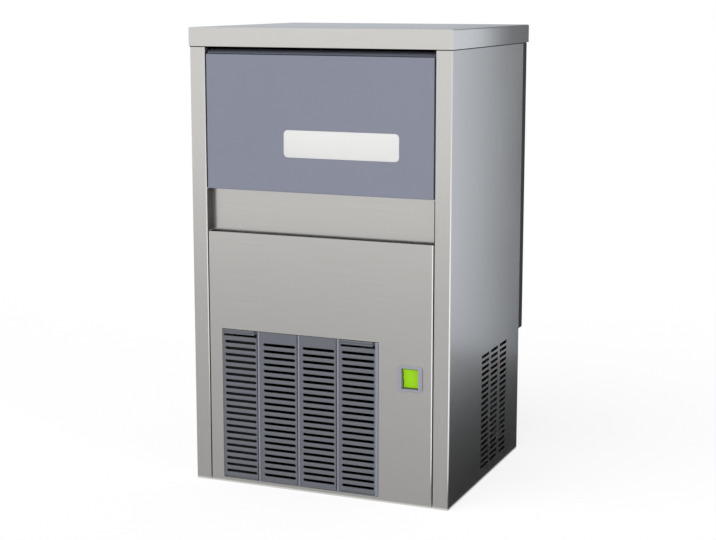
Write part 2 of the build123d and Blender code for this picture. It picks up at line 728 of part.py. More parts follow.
def grille():
    """Louvred grille: ribs between the columns, rims, rear skirt, latch windows with rails, and bottom hooks."""
    left, right, low, top = GRILLE_LEFT, GRILLE_RIGHT, GRILLE_BOTTOM, GRILLE_TOP
    front, rear = Y_FACE - GRILLE_PROUD, Y_GRILLE_BACK
    plate = block(left, right, front, rear, low, top)
    for x0, x1 in ((left, left + RIM_WIDTH / 2), (right - RIM_WIDTH, right)):
        plate += block(x0, x1, Y_FACE - RIM_PROUD, rear, low, top)
    for x in RIB_X:
        rib = block(x - RIB_WIDTH / 2, x + RIB_WIDTH / 2, Y_FACE - RIM_PROUD, rear, low, top)
        plate += fillet(rib.edges().filter_by(Axis.Z).group_by(Axis.Y)[0], RIM_PROUD * 0.7)
        plate -= block(x - RIB_WIDTH / 2 - RIB_GROOVE, x - RIB_WIDTH / 2, front - 1, front + RIB_GROOVE, low, top)
    skirt_low, skirt_rear, wall = low + LATCH_GAP, rear + GRILLE_SKIRT, SKIRT_WALL
    skirt = block(left, right, rear, skirt_rear, skirt_low, top)
    skirt -= block(left + wall, right - wall, rear, skirt_rear, skirt_low + wall, top - wall)
    shape = plate + skirt - grille_slots()
    for x0, x1 in latch_columns():
        window_low = top - SEAT - LATCH_HEIGHT - LATCH_GAP
        shape -= block(x0 - 0.5, x1 + 0.5, Y_FRONT, rear + 1, window_low, top + 1)
        shape -= block(x0 - LATCH_WING - SEAT, x1 + LATCH_WING + SEAT, rear, skirt_rear, window_low, top + 1)
        for edge, outward in ((x0 - LATCH_WING - SEAT, -1), (x1 + LATCH_WING + SEAT, 1)):
            a, b = sorted((edge, edge + outward * RAIL))
            shape += block(a, b, rear, rear + LATCH_FLANGE + 2 * SEAT + RAIL, window_low - 2, top)
            a, b = sorted((edge - outward * RAIL, edge + outward * RAIL))
            lip = rear + LATCH_FLANGE + 2 * SEAT
            shape += block(a, b, lip, lip + RAIL, window_low - 2, top)
    for x in [x0 + length / 2 for x0, length in SLOT_COLUMNS[1:-1]]:
        shape += block(x - HOOK_WIDTH / 2, x + HOOK_WIDTH / 2, rear, rear + HOOK_SHEET, HOOK_LOW, low + 6)
    return shape


def grille_latch(x0, x1):
    """Sliding latch: a front tab with a finger ridge, a wider flange behind the plate and a tooth on top."""
    low = GRILLE_TOP - SEAT - LATCH_HEIGHT
    high = low + LATCH_HEIGHT
    back = Y_GRILLE_BACK + SEAT
    x_end = x1 - LATCH_SIDE_GAP
    tab = block(x0, x_end, Y_FACE - GRILLE_PROUD, back + SEAT, low, high)
    groove_low, groove_high = low + LATCH_HEIGHT * 0.42, low + LATCH_HEIGHT * 0.56
    tab -= block(x0 + 1, x_end - 1, Y_FACE - 2 * GRILLE_PROUD, Y_FACE + LATCH_FLANGE / 4, groove_low, groove_high)
    flange = block(x0 - LATCH_WING, x1 + LATCH_WING, back, back + LATCH_FLANGE, low - LATCH_WING, high - SEAT)
    middle = (x0 + x1) / 2
    tooth = block(middle - 8, middle + 8, back, back + LATCH_FLANGE, high - SEAT, high + SEAT)
    return tab + flange + tooth


def air_filter():
    """Filter frame with cross bars and a thin mesh, held inside the grille skirt."""
    gap = SKIRT_WALL + SEAT
    x0, x1 = GRILLE_LEFT + gap, GRILLE_RIGHT - gap
    z0 = GRILLE_BOTTOM + LATCH_GAP + gap
    z1 = GRILLE_TOP - LATCH_HEIGHT - LATCH_GAP - 3 * SEAT - 3
    y0 = Y_GRILLE_BACK + HOOK_SHEET + SEAT
    y1 = y0 + FILTER_DEPTH
    frame = block(x0, x1, y0, y1, z0, z1)
    columns, rows = 4, 3
    step_x, step_z = (x1 - x0 - FILTER_BAR) / columns, (z1 - z0 - FILTER_BAR) / rows
    for i in range(columns):
        for k in range(rows):
            cx, cz = x0 + i * step_x, z0 + k * step_z
            frame -= block(cx + FILTER_BAR, cx + step_x, y0, y1 - MESH, cz + FILTER_BAR, cz + step_z)
    return frame


# Rocker switch

def switch_housing():
    """Square bezel and the body behind it, with a round-backed well for the rocker."""
    half = BEZEL / 2
    bezel = block(SWITCH_X - half, SWITCH_X + half, Y_FACE - BEZEL_PROUD, Y_FACE, SWITCH_Z - half, SWITCH_Z + half)
    bezel = fillet(bezel.edges().filter_by(Axis.Y), 3)
    bezel = chamfer(bezel.faces().sort_by(Axis.Y)[0].edges(), BEZEL_PROUD * 0.6)
    half_w, half_h = SWITCH_BODY[0] / 2, SWITCH_BODY[1] / 2
    body = block(
        SWITCH_X - half_w, SWITCH_X + half_w, Y_FACE, Y_FACE + SWITCH_DEPTH, SWITCH_Z - half_h, SWITCH_Z + half_h
    )
    well_w = ROCKER[0] / 2 + ROCKER_GAP
    well = rod_x(SWITCH_X - well_w, SWITCH_X + well_w, ROCKER_Y, SWITCH_Z, ROCKER_WELL_R)
    mouth_h = ROCKER_WELL_R - ROCKER_GAP
    mouth = block(
        SWITCH_X - well_w, SWITCH_X + well_w, Y_FRONT - 1, ROCKER_Y, SWITCH_Z - mouth_h, SWITCH_Z + mouth_h
    )
    axle = rod_x(SWITCH_X - half_w, SWITCH_X + half_w, ROCKER_Y, SWITCH_Z, AXLE_R + PIN_CLEARANCE)
    terminals = [
        block(SWITCH_X + dx - 3, SWITCH_X + dx + 3, Y_FACE + SWITCH_DEPTH, Y_FACE + SWITCH_DEPTH + 8,
              SWITCH_Z + dz - 0.4, SWITCH_Z + dz + 0.4)
        for dx in (-7, 7) for dz in (-8, 8)
    ]
    return bezel + body - well - mouth - axle + terminals


def switch_rocker():
    """Lit rocker about its axle, with a shallow hollow front; shown with its lower half pressed in."""
    w, h = ROCKER[0] / 2, ROCKER[1] / 2
    front, waist, rear = -ROCKER_AXLE_BACK, -ROCKER_AXLE_BACK + 1.8, ROCKER_AXLE_BACK + 1
    section = outline_yz([
        (front, h), (waist, 0), (front, -h), (front + 4, -h), (rear, -h * 0.6), (rear, h * 0.6), (front + 4, h)
    ])
    body = along_x(section, w) + rod_x(-w - 1.5, w + 1.5, 0, 0, AXLE_R)
    return Pos(SWITCH_X, ROCKER_Y, SWITCH_Z) * Rot(ROCKER_TILT, 0, 0) * body


# Refrigeration in the lower compartment

def tube_levels():
    """Heights of the condenser's straight tubes, lowest first."""
    pitch = (COIL_Z[1] - COIL_Z[0]) / TUBE_ROWS
    return [COIL_Z[0] + (i + 0.5) * pitch for i in range(TUBE_ROWS)]


def condenser_fins():
    """Aluminium fins, notched from the back over the tubes."""
    slot = TUBE_R + 0.1
    fin = block(0, FIN_SHEET, COIL_FRONT, COIL_REAR, COIL_Z[0], COIL_Z[1])
    fin -= [block(-1, FIN_SHEET + 1, COIL_MID - slot, COIL_REAR + 1, z - slot, z + slot) for z in tube_levels()]
    step = (COIL_X[1] - COIL_X[0] - 2 * FIN_SHEET) / FIN_COUNT
    return Compound(children=[Pos(COIL_X[0] + FIN_SHEET / 2 + step * (i + 0.5), 0, 0) * fin for i in range(FIN_COUNT)])


def condenser_frame():
    """Two end plates that stand in the base pan and hold the tubes."""
    plates = []
    for x0, x1 in ((COIL_X[0] - PAN_SHEET, COIL_X[0]), (COIL_X[1], COIL_X[1] + PAN_SHEET)):
        plate = block(x0, x1, COIL_FRONT, COIL_REAR, PAN_SHEET, COIL_Z[1])
        plates.append(plate - [rod_x(x0 - 1, x1 + 1, COIL_MID, z, TUBE_R + 0.1) for z in tube_levels()])
    return Compound(children=plates)


def condenser_coil():
    """One copper tube folded to and fro through the end plates."""
    levels = tube_levels()
    bend = (levels[1] - levels[0]) / 2 - 0.05
    left, right = COIL_X[0] - PAN_SHEET - 3 - bend, COIL_X[1] + PAN_SHEET + 3 + bend
    points = [(COIL_END_X, COIL_MID, levels[-1])]
    for index, z in enumerate(reversed(levels)):
        ends = (right, left) if index % 2 == 0 else (left, right)
        if index > 0:
            points.append((ends[0], COIL_MID, z))
        if index < len(levels) - 1:
            points.append((ends[1], COIL_MID, z))
    points.append((COIL_END_X, COIL_MID, levels[0]))
    return tube(points, TUBE_R, bend)


def fan_shroud():
    """Sheet cowl behind the condenser with a drawn ring round the fan."""
    plate = block(COIL_X[0], COIL_X[1], SHROUD_Y, SHROUD_Y + SHROUD_SHEET, PAN_SHEET, COIL_Z[1])
    ring_r = FAN_R + FAN_TIP_GAP
    ring = rod_y(SHROUD_Y, SHROUD_Y + SHROUD_RING, FAN_X, FAN_Z, ring_r + SHROUD_SHEET)
    return plate + ring - rod_y(SHROUD_Y - 1, SHROUD_Y + SHROUD_RING + 1, FAN_X, FAN_Z, ring_r)


def fan_motor():
    """Small round motor with a bored nose and cooling ribs at the back."""
    body = rod_y(MOTOR_Y, MOTOR_Y + MOTOR_LENGTH, FAN_X, FAN_Z, MOTOR_R)
    body = fillet(body.edges().sort_by(Axis.Y)[-1:], 6)
    nose = rod_y(MOTOR_Y - 4, MOTOR_Y, FAN_X, FAN_Z, HUB_R / 2)
    return body + nose - rod_y(MOTOR_Y - 5, MOTOR_Y + MOTOR_LENGTH / 2, FAN_X, FAN_Z, SHAFT_R + PIN_CLEARANCE)


def fan_bracket():
    """Band round the motor with four arms bent forward to the shroud."""
    y0, y1 = MOTOR_Y + 6, MOTOR_Y + 14
    reach = FAN_R + FAN_TIP_GAP + 10
    parts = rod_y(y0, y1, FAN_X, FAN_Z, MOTOR_R + 1.5)
    for turn in range(4):
        spin = Pos(FAN_X, 0, FAN_Z) * Rot(0, 45 + 90 * turn, 0)
        parts += spin * block(MOTOR_R, reach, y0, y0 + 2, -5, 5)
        parts += spin * block(reach - 2, reach, SHROUD_Y + SHROUD_SHEET, y0 + 2, -5, 5)
    return parts - rod_y(y0 - 1, y1 + 1, FAN_X, FAN_Z, MOTOR_R)


def fan_blades():
    """Pressed fan: hub and five twisted blades."""
    hub = rod_y(FAN_Y - FAN_WIDTH / 2, FAN_Y + FAN_WIDTH / 2, FAN_X, FAN_Z, HUB_R)
    hub = fillet(hub.edges().sort_by(Axis.Y)[:1], 3)
    fan = hub
    for blade in range(FAN_BLADES):
        root = Plane(origin=(HUB_R - 2, 0, 0), x_dir=(0, 1, 0), z_dir=(1, 0, 0)) * Rot(0, 0, 38) * Rectangle(1.4, 16)
        tip = Plane(origin=(FAN_R, 0, 0), x_dir=(0, 1, 0), z_dir=(1, 0, 0)) * Rot(0, 0, 18) * Rectangle(1.4, 46)
        shape = loft([root, tip])
        fan += Pos(FAN_X, FAN_Y, FAN_Z) * Rot(0, 360 / FAN_BLADES * blade, 0) * shape
    return fan - rod_y(FAN_Y - FAN_WIDTH, FAN_Y + FAN_WIDTH, FAN_X, FAN_Z, SHAFT_R)


def fan_shaft():
    """Motor shaft that carries the fan."""
    return rod_y(FAN_Y - FAN_WIDTH / 2, MOTOR_Y + MOTOR_LENGTH / 2 - 2, FAN_X, FAN_Z, SHAFT_R)


def compressor():
    """Hermetic shell in two drawn halves on a foot plate, with the terminal box at its side."""
    low = PAN_SHEET + GROMMET_H
    foot = COMP_R + 4
    plate = block(COMP_X - foot, COMP_X + foot, COMP_Y - foot, COMP_Y + foot, low, low + 2.5)
    plate = fillet(plate.edges().filter_by(Axis.Z), 10)
    plate -= [rod_z(low - 1, low + 4, x, y, 4) for x, y in grommet_places()]
    base, seam, top = low + 2.5, low + COMP_HEIGHT * 0.5, low + COMP_HEIGHT
    r = COMP_R - 4
    profile = Plane.XZ * make_face([
        Line((0, base), (r - 14, base)),
        ThreePointArc((r - 14, base), (r - 4, base + 4), (r, base + 14)),
        Line((r, base + 14), (r, seam - 3)),
        Line((r, seam - 3), (COMP_R, seam - 3)),
        Line((COMP_R, seam - 3), (COMP_R, seam + 3)),
        Line((COMP_R, seam + 3), (r, seam + 3)),
        Line((r, seam + 3), (r, top - 30)),
        ThreePointArc((r, top - 30), (r - 8, top - 11), (r - 26, top - 4)),
        Line((r - 26, top - 4), (0, top)),
        Line((0, top), (0, base)),
    ])
    shell = Pos(COMP_X, COMP_Y, 0) * revolve(profile, Axis.Z)
    box = block(COMP_X - 18, COMP_X + 18, COMP_Y - COMP_R - 14, COMP_Y - COMP_R + 14, base + 14, base + 54)
    return plate + shell + box


def grommet_places():
    """The compressor's four mounting points, as (x, y)."""
    reach = COMP_R - 5
    return [(COMP_X + sx * reach, COMP_Y + sy * reach) for sx in (-1, 1) for sy in (-1, 1)]


def compressor_grommets():
    """Rubber mounts between the base pan and the compressor's foot plate."""
    return Compound(children=[
        rod_z(PAN_SHEET, PAN_SHEET + GROMMET_H, x, y, GROMMET_R) - rod_z(0, GROMMET_H * 2, x, y, 3)
        for x, y in grommet_places()
    ])


def discharge_pipe():
    """Hot gas from the compressor to the top of the condenser."""
    top = tube_levels()[-1]
    return tube([
        (COIL_END_X, COIL_MID, top), (PIPE_X, COIL_MID, top), (PIPE_X, DISCHARGE_Y, top),
        (PIPE_X, DISCHARGE_Y, DISCHARGE_Z), (PIPE_X, COMP_Y - COMP_R + 10, DISCHARGE_Z),
    ], DISCHARGE_R, 12)


def filter_drier():
    """Copper drier with necked ends, standing between the condenser and the evaporator's feed pipe."""
    z0, z1 = DRIER_Z, DRIER_Z + DRIER_LENGTH
    body = rod_z(z0 + 8, z1 - 8, DRIER_X, DRIER_Y, DRIER_R)
    low = Pos(DRIER_X, DRIER_Y, z0 + 4) * Cone(TUBE_R, DRIER_R, 8)
    high = Pos(DRIER_X, DRIER_Y, z1 - 4) * Cone(DRIER_R, TUBE_R, 8)
    return body + low + high


def condenser_outlet():
    """Liquid from the bottom of the condenser into the drier."""
    z = tube_levels()[0]
    return tube([
        (COIL_END_X, COIL_MID, z), (DRIER_X, COIL_MID, z), (DRIER_X, DRIER_Y, z), (DRIER_X, DRIER_Y, DRIER_Z)
    ], TUBE_R, 9)


def liquid_pipe():
    """Thin feed pipe from the drier up the service way to the evaporator coil."""
    y = GAS_WAY_Y - 9
    return tube([
        (DRIER_X, DRIER_Y, DRIER_Z + DRIER_LENGTH), (DRIER_X, DRIER_Y, LIQUID_Z), (DRIER_X, y, LIQUID_Z),
        (DRIER_X, y, FEED_Z), (FEED_X, y, FEED_Z), (FEED_X, FEED_Y, FEED_Z), (FEED_X, FEED_Y, COIL_TOP_Z + TUBE_R),
    ], CAPILLARY_R, 4)


def suction_pipe():
    """Cold return pipe from the evaporator coil to the compressor."""
    x, y = WAY_X - 3, SUCTION_Y
    return tube([
        (SUCTION_X, y, COIL_TOP_Z), (x, y, COIL_TOP_Z), (x, y, SUCTION_Z), (COMP_X, y, SUCTION_Z),
        (COMP_X, COMP_Y + COMP_R - 10, SUCTION_Z),
    ], TUBE_R, 9)


# Ice making unit

def unit_shell(z0, z1, wall):
    """Upright box that fits the back of the bin, with its rear corners rounded like the liner's."""
    x, front, rear = UNIT_X - wall, UNIT_Y + wall, UNIT_BACK - wall
    shape = block(-x, x, front, rear, z0, z1)
    corners = shape.edges().filter_by(Axis.Z).group_by(Axis.Y)[-1]
    return fillet(corners, UNIT_CORNER - wall)


def water_tank():
    """Open tray on the liner's ledges that holds the circulating water."""
    return unit_shell(TANK_Z, TANK_TOP, 0) - unit_shell(TANK_Z + TANK_WALL, TANK_TOP + TANK_WALL, TANK_WALL)


def evaporator_frame():
    """Three-sided frame on the tank with a pierced top shelf and two ears for the curtain rod."""
    shelf_low = CUP_BASE - FRAME_WALL
    shell = unit_shell(TANK_TOP, CUP_BASE, 0) - unit_shell(TANK_TOP, shelf_low, FRAME_WALL)
    front_x = UNIT_X - FRAME_WALL
    shell -= block(-front_x, front_x, UNIT_Y - 1, UNIT_Y + FRAME_WALL + 1, TANK_TOP, shelf_low)
    opening = CUP_COLUMNS * CUP_PITCH / 2 + 2
    reach = CUP_ROWS * CUP_PITCH / 2 + 2
    shell -= block(-opening, opening, CUPS_Y - reach, CUPS_Y + reach, shelf_low - 1, CUP_BASE + 1)
    shell -= rod_z(shelf_low - 1, CUP_BASE + 1, SPOUT_X, WATER_WAY_Y, WATER_PIPE_R + 1)
    for side in (-1, 1):
        x0, x1 = sorted((side * front_x, side * UNIT_X))
        shell += block(x0, x1, ROD_Y - 6, UNIT_Y, ROD_Z - 8, ROD_Z + 8)
    return shell


def cup_places():
    """Centres of the ice cups, as (x, y)."""
    columns = [(i - (CUP_COLUMNS - 1) / 2) * CUP_PITCH for i in range(CUP_COLUMNS)]
    rows = [CUPS_Y + (k - (CUP_ROWS - 1) / 2) * CUP_PITCH for k in range(CUP_ROWS)]
    return [(x, y) for x in columns for y in rows]


def evaporator():
    """Plate with a grid of inverted cups in which the cubes freeze."""
    half_x = CUP_COLUMNS * CUP_PITCH / 2 + CUP_FIELD_EDGE
    half_y = CUP_ROWS * CUP_PITCH / 2 + CUP_FIELD_EDGE
    plate = block(-half_x, half_x, CUPS_Y - half_y, CUPS_Y + half_y, CUP_BASE, CUP_BASE + EVAPORATOR_SHEET)
    outer, inner = CUP_MOUTH_R, CUP_MOUTH_R - CUP_WALL
    cup = Cone(outer, CUP_TOP_R, CUP_DEPTH) - Cone(inner, CUP_TOP_R - CUP_WALL, CUP_DEPTH)
    middle = EVAPORATOR_Z + CUP_DEPTH / 2
    return plate + [Pos(x, y, middle) * cup for x, y in cup_places()]


def evaporator_coil():
    """Cold coil: a long loop on top of the cup plate with both ends at the right."""
    z = COIL_TOP_Z
    return tube([
        (SUCTION_X, SUCTION_Y, z), (-COIL_HALF, SUCTION_Y, z), (-COIL_HALF, FEED_Y, z), (FEED_X + 4, FEED_Y, z)
    ], TUBE_R, 20)


def spray_bar():
    """Header with four arms and a nozzle under every cup."""
    header = rod_x(-1.5 * CUP_PITCH - SPRAY_R, PUMP_X - PUMP_NECK_R, PUMP_Y, SPRAY_Z, SPRAY_R)
    places = cup_places()
    front = min(y for _, y in places) - SPRAY_R
    arms = [rod_y(front, PUMP_Y, x, SPRAY_Z, SPRAY_R - 2) for x in sorted({x for x, _ in places})]
    nozzles = [rod_z(SPRAY_Z, SPRAY_Z + 10, x, y, 2) for x, y in places]
    return header + arms + nozzles


def water_pump():
    """Circulation pump that stands in the tank, with its motor above the water."""
    floor = TANK_Z + TANK_WALL
    housing = rod_z(floor, floor + 28, PUMP_X, PUMP_Y, PUMP_R)
    motor = rod_z(floor + 28, PUMP_TOP, PUMP_X, PUMP_Y, PUMP_NECK_R)
    return housing + chamfer(motor.edges().group_by(Axis.Z)[-1], 3)


def ice_chute():
    """Sloped slats under the cups that let water through and roll the cubes to the front."""
    front_y, rear_y = UNIT_Y + 6, UNIT_BACK - UNIT_CORNER - 4
    length = math.hypot(rear_y - front_y, CHUTE_RISE)
    slope = math.degrees(math.atan2(CHUTE_RISE, rear_y - front_y))
    middle = Pos(0, (front_y + rear_y) / 2, CHUTE_Z + CHUTE_RISE / 2) * Rot(slope, 0, 0)
    slats = [
        Pos(i * CUP_PITCH / 4, 0, 0) * middle * Box(SLAT[0], length, SLAT[1])
        for i in range(-9, 10) if abs(i) not in (2, 6)
    ]
    reach = UNIT_X - FRAME_WALL
    bars = [rod_x(-reach, reach, front_y + 1, CHUTE_Z, 3), rod_x(-reach, reach, rear_y - 1, CHUTE_Z + CHUTE_RISE, 3)]
    return bars[0] + bars[1:] + slats


def curtain_rod():
    """Steel rod that the curtain flaps swing on."""
    reach = UNIT_X - FRAME_WALL
    return rod_x(-reach, reach, ROD_Y, ROD_Z, CURTAIN_ROD_R)


def curtain_flap(index):
    """One hanging flap with a bored hub."""
    width = (2 * (UNIT_X - FRAME_WALL) - (CURTAIN_FLAPS + 1) * FLAP_GAP) / CURTAIN_FLAPS
    x0 = -(UNIT_X - FRAME_WALL) + FLAP_GAP + index * (width + FLAP_GAP)
    hub = rod_x(x0, x0 + width, ROD_Y, ROD_Z, CURTAIN_ROD_R + FLAP_SHEET)
    half = FLAP_SHEET / 2
    blade = block(x0, x0 + width, ROD_Y - half, ROD_Y + half, ROD_Z - FLAP_DROP, ROD_Z - CURTAIN_ROD_R - half)
    return hub + blade - rod_x(x0 - 1, x0 + width + 1, ROD_Y, ROD_Z, CURTAIN_ROD_R + PIN_CLEARANCE)


# Services at the back

def inlet_valve():
    """Water valve behind the rear panel with a threaded-size stub outside."""
    inside = Y_REAR_PANEL - SHEET
    body = block(INLET_X - 16, INLET_X + 16, inside - VALVE_DEPTH, inside - 4, INLET_Z - 15, INLET_Z + 15)
    flange = rod_y(inside - 4, inside, INLET_X, INLET_Z, INLET_R + 4)
    neck = rod_y(inside, Y_REAR_PANEL + STUB_NECK, INLET_X, INLET_Z, INLET_R - STUB_NECK)
    stub = neck + rod_y(Y_REAR_PANEL + STUB_NECK, Y_REAR_PANEL + INLET_STUB, INLET_X, INLET_Z, INLET_R)
    coil = rod_z(INLET_Z - 40, INLET_Z - 15, INLET_X, inside - VALVE_DEPTH / 2, 13)
    return body + flange + stub + coil - rod_y(Y_REAR_PANEL, Y_BACK, INLET_X, INLET_Z, INLET_R - 5)


def inlet_pipe():
    """Water pipe from the valve up the left service way to a spout over the tank."""
    y = WATER_WAY_Y
    return tube([
        (INLET_X, y, INLET_Z + 15), (INLET_X, y, INLET_RISE_Z), (-WAY_X, y, INLET_RISE_Z), (-WAY_X, y, SPOUT_Z),
        (SPOUT_X, y, SPOUT_Z), (SPOUT_X, y, CUP_BASE - 40),
    ], WATER_PIPE_R, 7)


def drain_pipe():
    """Drain from the bin floor to a stub through the rear panel, hollow at both ends."""
    end = Y_REAR_PANEL + DRAIN_STUB
    shoulder = Y_REAR_PANEL + DRAIN_SHOULDER
    pipe = tube([(DRAIN_X, DRAIN_TOP_Y, DRAIN_TOP_Z), (DRAIN_X, DRAIN_TOP_Y, DRAIN_Z), (DRAIN_X, shoulder, DRAIN_Z)],
                DRAIN_R, 20)
    pipe -= rod_z(DRAIN_TOP_Z - 30, DRAIN_TOP_Z + 1, DRAIN_X, DRAIN_TOP_Y, DRAIN_R - PIPE_WALL)
    spigot = rod_y(shoulder, end, DRAIN_X, DRAIN_Z, SPIGOT_R)
    return pipe + spigot - rod_y(shoulder - DRAIN_STUB, end + 1, DRAIN_X, DRAIN_Z, SPIGOT_R - PIPE_WALL)


def cable_gland():
    """Gland for the supply cable, clamped to the rear panel."""
    inside = Y_REAR_PANEL - SHEET
    nut = rod_y(inside - 5, inside, GLAND_X, GLAND_Z, GLAND_R + 3)
    neck = rod_y(inside, Y_REAR_PANEL, GLAND_X, GLAND_Z, GLAND_R)
    dome = rod_y(Y_REAR_PANEL, Y_REAR_PANEL + GLAND_STUB, GLAND_X, GLAND_Z, GLAND_R + 2)
    dome = fillet(dome.edges().sort_by(Axis.Y)[-1:], 3)
    return nut + neck + dome - rod_y(inside - 6, Y_BACK, GLAND_X, GLAND_Z, GLAND_BORE_R)


def control_box():
    """Electrical box on the left side panel, with a lid seam and a cable bushing."""
    y0, y1 = CONTROL_Y
    z0, z1 = CONTROL_Z
    box = block(-X_IN, CONTROL_X, y0, y1, z0, z1)
    box = fillet(box.faces().sort_by(Axis.X)[-1].edges(), 3)
    seam = block(CONTROL_X - 9, CONTROL_X - 8, y0, y1, z0, z1)
    core = block(CONTROL_X - 10, CONTROL_X - 7, y0 + 1, y1 - 1, z0 + 1, z1 - 1)
    return box - (seam - core) + rod_z(z0 - 8, z0, CONTROL_X - 20, (y0 + y1) / 2, 6)


save("top_lid", top_lid())
save("lid_insulation", lid_insulation())
save("side_panel_right", side_panel())
save("side_panel_left", mirrored(side_panel()))
save("front_panel", front_panel())
save("apron", apron())
save("base_pan", base_pan())
save("foot_inserts", foot_inserts())
save("rear_panel", rear_panel())
save("panel_screws", panel_screws())
save("rear_shell", rear_shell())
save("bin_bar", bin_bar())
save("bin_insulation", bin_insulation())
save("bin_liner", bin_liner())
save("door_outer", door_outer())
save("door_inner", door_inner())
save("door_label", door_label())
save("door_bumpers", door_bumpers())
save("hinge_blocks", Compound(children=[hinge_block(), mirrored(hinge_block())]))
save("hinge_pins", Compound(children=[hinge_pin(), mirrored(hinge_pin())]))
save("grille", grille())
save("grille_latch_left", grille_latch(*latch_columns()[0]))
save("grille_latch_right", grille_latch(*latch_columns()[1]))
save("air_filter", air_filter())
save("switch_housing", switch_housing())
save("switch_rocker", switch_rocker())
save("condenser_fins", condenser_fins())
save("condenser_frame", condenser_frame())
save("condenser_coil", condenser_coil())
save("fan_shroud", fan_shroud())
save("fan_motor", fan_motor())
save("fan_bracket", fan_bracket())
save("fan_blades", fan_blades())
save("fan_shaft", fan_shaft())
shell = compressor()
save("compressor", shell)
save("compressor_grommets", compressor_grommets())
save("discharge_pipe", discharge_pipe() - shell)
save("suction_pipe", suction_pipe() - shell)
save("condenser_outlet", condenser_outlet())
save("filter_drier", filter_drier())
save("liquid_pipe", liquid_pipe())
save("water_tank", water_tank())
save("evaporator_frame", evaporator_frame())
save("evaporator", evaporator())
save("evaporator_coil", evaporator_coil())
save("spray_bar", spray_bar())
save("water_pump", water_pump())
save("ice_chute", ice_chute())
save("curtain_rod", curtain_rod())
for flap in range(CURTAIN_FLAPS):
    save(f"curtain_flap_{flap + 1}", curtain_flap(flap))
save("inlet_valve", inlet_valve())
save("inlet_pipe", inlet_pipe())
save("drain_pipe", drain_pipe())
save("cable_gland", cable_gland())
save("control_box", control_box())
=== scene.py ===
"""Dresses the ice cube machine: finishes for every CAD node, finer pieces over some of them, and a stage."""

import functools
import math

import bmesh
import bpy
from bpy.props import FloatProperty, FloatVectorProperty, IntProperty, PointerProperty
from mathutils import Matrix, Vector


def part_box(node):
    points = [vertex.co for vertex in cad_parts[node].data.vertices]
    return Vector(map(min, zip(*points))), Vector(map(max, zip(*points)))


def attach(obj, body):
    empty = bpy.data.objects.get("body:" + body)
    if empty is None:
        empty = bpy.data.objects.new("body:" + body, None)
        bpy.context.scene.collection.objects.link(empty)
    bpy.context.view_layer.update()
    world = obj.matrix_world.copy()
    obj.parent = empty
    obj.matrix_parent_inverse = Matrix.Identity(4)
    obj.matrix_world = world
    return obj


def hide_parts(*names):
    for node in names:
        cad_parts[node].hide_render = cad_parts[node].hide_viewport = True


bl_info = {
    "name": "Ice Cube Machine Dressing",
    "version": (1, 0, 0),
    "blender": (4, 5, 0),
    "location": "3D View > Sidebar > Ice Machine",
    "description": "Finishes and detail pieces for an under-counter ice cube machine",
    "category": "Object",
}

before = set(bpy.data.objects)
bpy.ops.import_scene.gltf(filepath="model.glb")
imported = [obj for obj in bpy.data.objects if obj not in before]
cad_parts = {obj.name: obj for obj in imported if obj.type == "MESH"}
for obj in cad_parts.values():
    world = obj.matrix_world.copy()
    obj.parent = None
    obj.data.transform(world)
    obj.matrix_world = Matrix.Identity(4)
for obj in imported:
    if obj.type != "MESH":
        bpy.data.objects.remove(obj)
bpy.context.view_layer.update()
MM = 0.001


def srgb(code):
    """Linear colour of an sRGB hex code, for a shader socket."""
    channels = [int(code[i:i + 2], 16) / 255 for i in (0, 2, 4)]
    return tuple(c / 12.92 if c <= 0.04045 else ((c + 0.055) / 1.055) ** 2.4 for c in channels)


class IceMachineSizes(bpy.types.PropertyGroup):
    """Sizes of the detail that is added to the CAD model."""

    lid_bend: FloatProperty(
        name="Lid bend", description="Outside radius of the lid's folded edges",
        default=2.0 * MM, unit="LENGTH")
    slot_rows: IntProperty(
        name="Slot rows", description="Rows of whole slots in each column of the grille", default=21)
    slot_pitch: FloatProperty(
        name="Slot pitch", description="Height from one grille slot to the next",
        default=9.51 * MM, unit="LENGTH")
    slot_height: FloatProperty(
        name="Slot height", description="Clear height of a grille slot",
        default=4.1 * MM, unit="LENGTH")
    soft_edge: FloatProperty(
        name="Soft edge", description="Edge radius of the moulded plastic pieces",
        default=0.45 * MM, unit="LENGTH")


class IceMachineColours(bpy.types.PropertyGroup):
    """Colours that a user would change."""

    steel: FloatVectorProperty(
        name="Stainless steel", description="Colour of the brushed cabinet sheets",
        default=srgb("cfcdca"), subtype="COLOR", min=0, max=1)
    door: FloatVectorProperty(
        name="Door", description="Colour of the door's moulded grey plastic",
        default=srgb("838695"), subtype="COLOR", min=0, max=1)
    grille: FloatVectorProperty(
        name="Grille", description="Colour of the grille's darker grey plastic",
        default=srgb("66686f"), subtype="COLOR", min=0, max=1)
    rocker: FloatVectorProperty(
        name="Rocker", description="Colour of the lit rocker switch",
        default=srgb("98d00c"), subtype="COLOR", min=0, max=1)


def sizes():
    return bpy.context.scene.ice_machine_sizes


def colours():
    return bpy.context.scene.ice_machine_colours


# Materials

def node(tree, kind, links=(), **settings):
    """Adds a shader node, sets its attributes or inputs, and links its inputs."""
    made = tree.nodes.new(kind)
    for key, value in settings.items():
        if key in made.inputs.keys():
            made.inputs[key].default_value = value
        else:
            setattr(made, key, value)
    for socket, source in links:
        tree.links.new(source, made.inputs[socket])
    return made


def per_metre(size):
    """Scale of a pattern whose marks are so many millimetres across."""
    return 1 / (size * MM)


def made_once(make):
    """Hands out the material of a name that is already made, instead of making it again."""
    @functools.wraps(make)
    def found_or_made(name, *settings):
        return bpy.data.materials.get(name) or make(name, *settings)
    return found_or_made


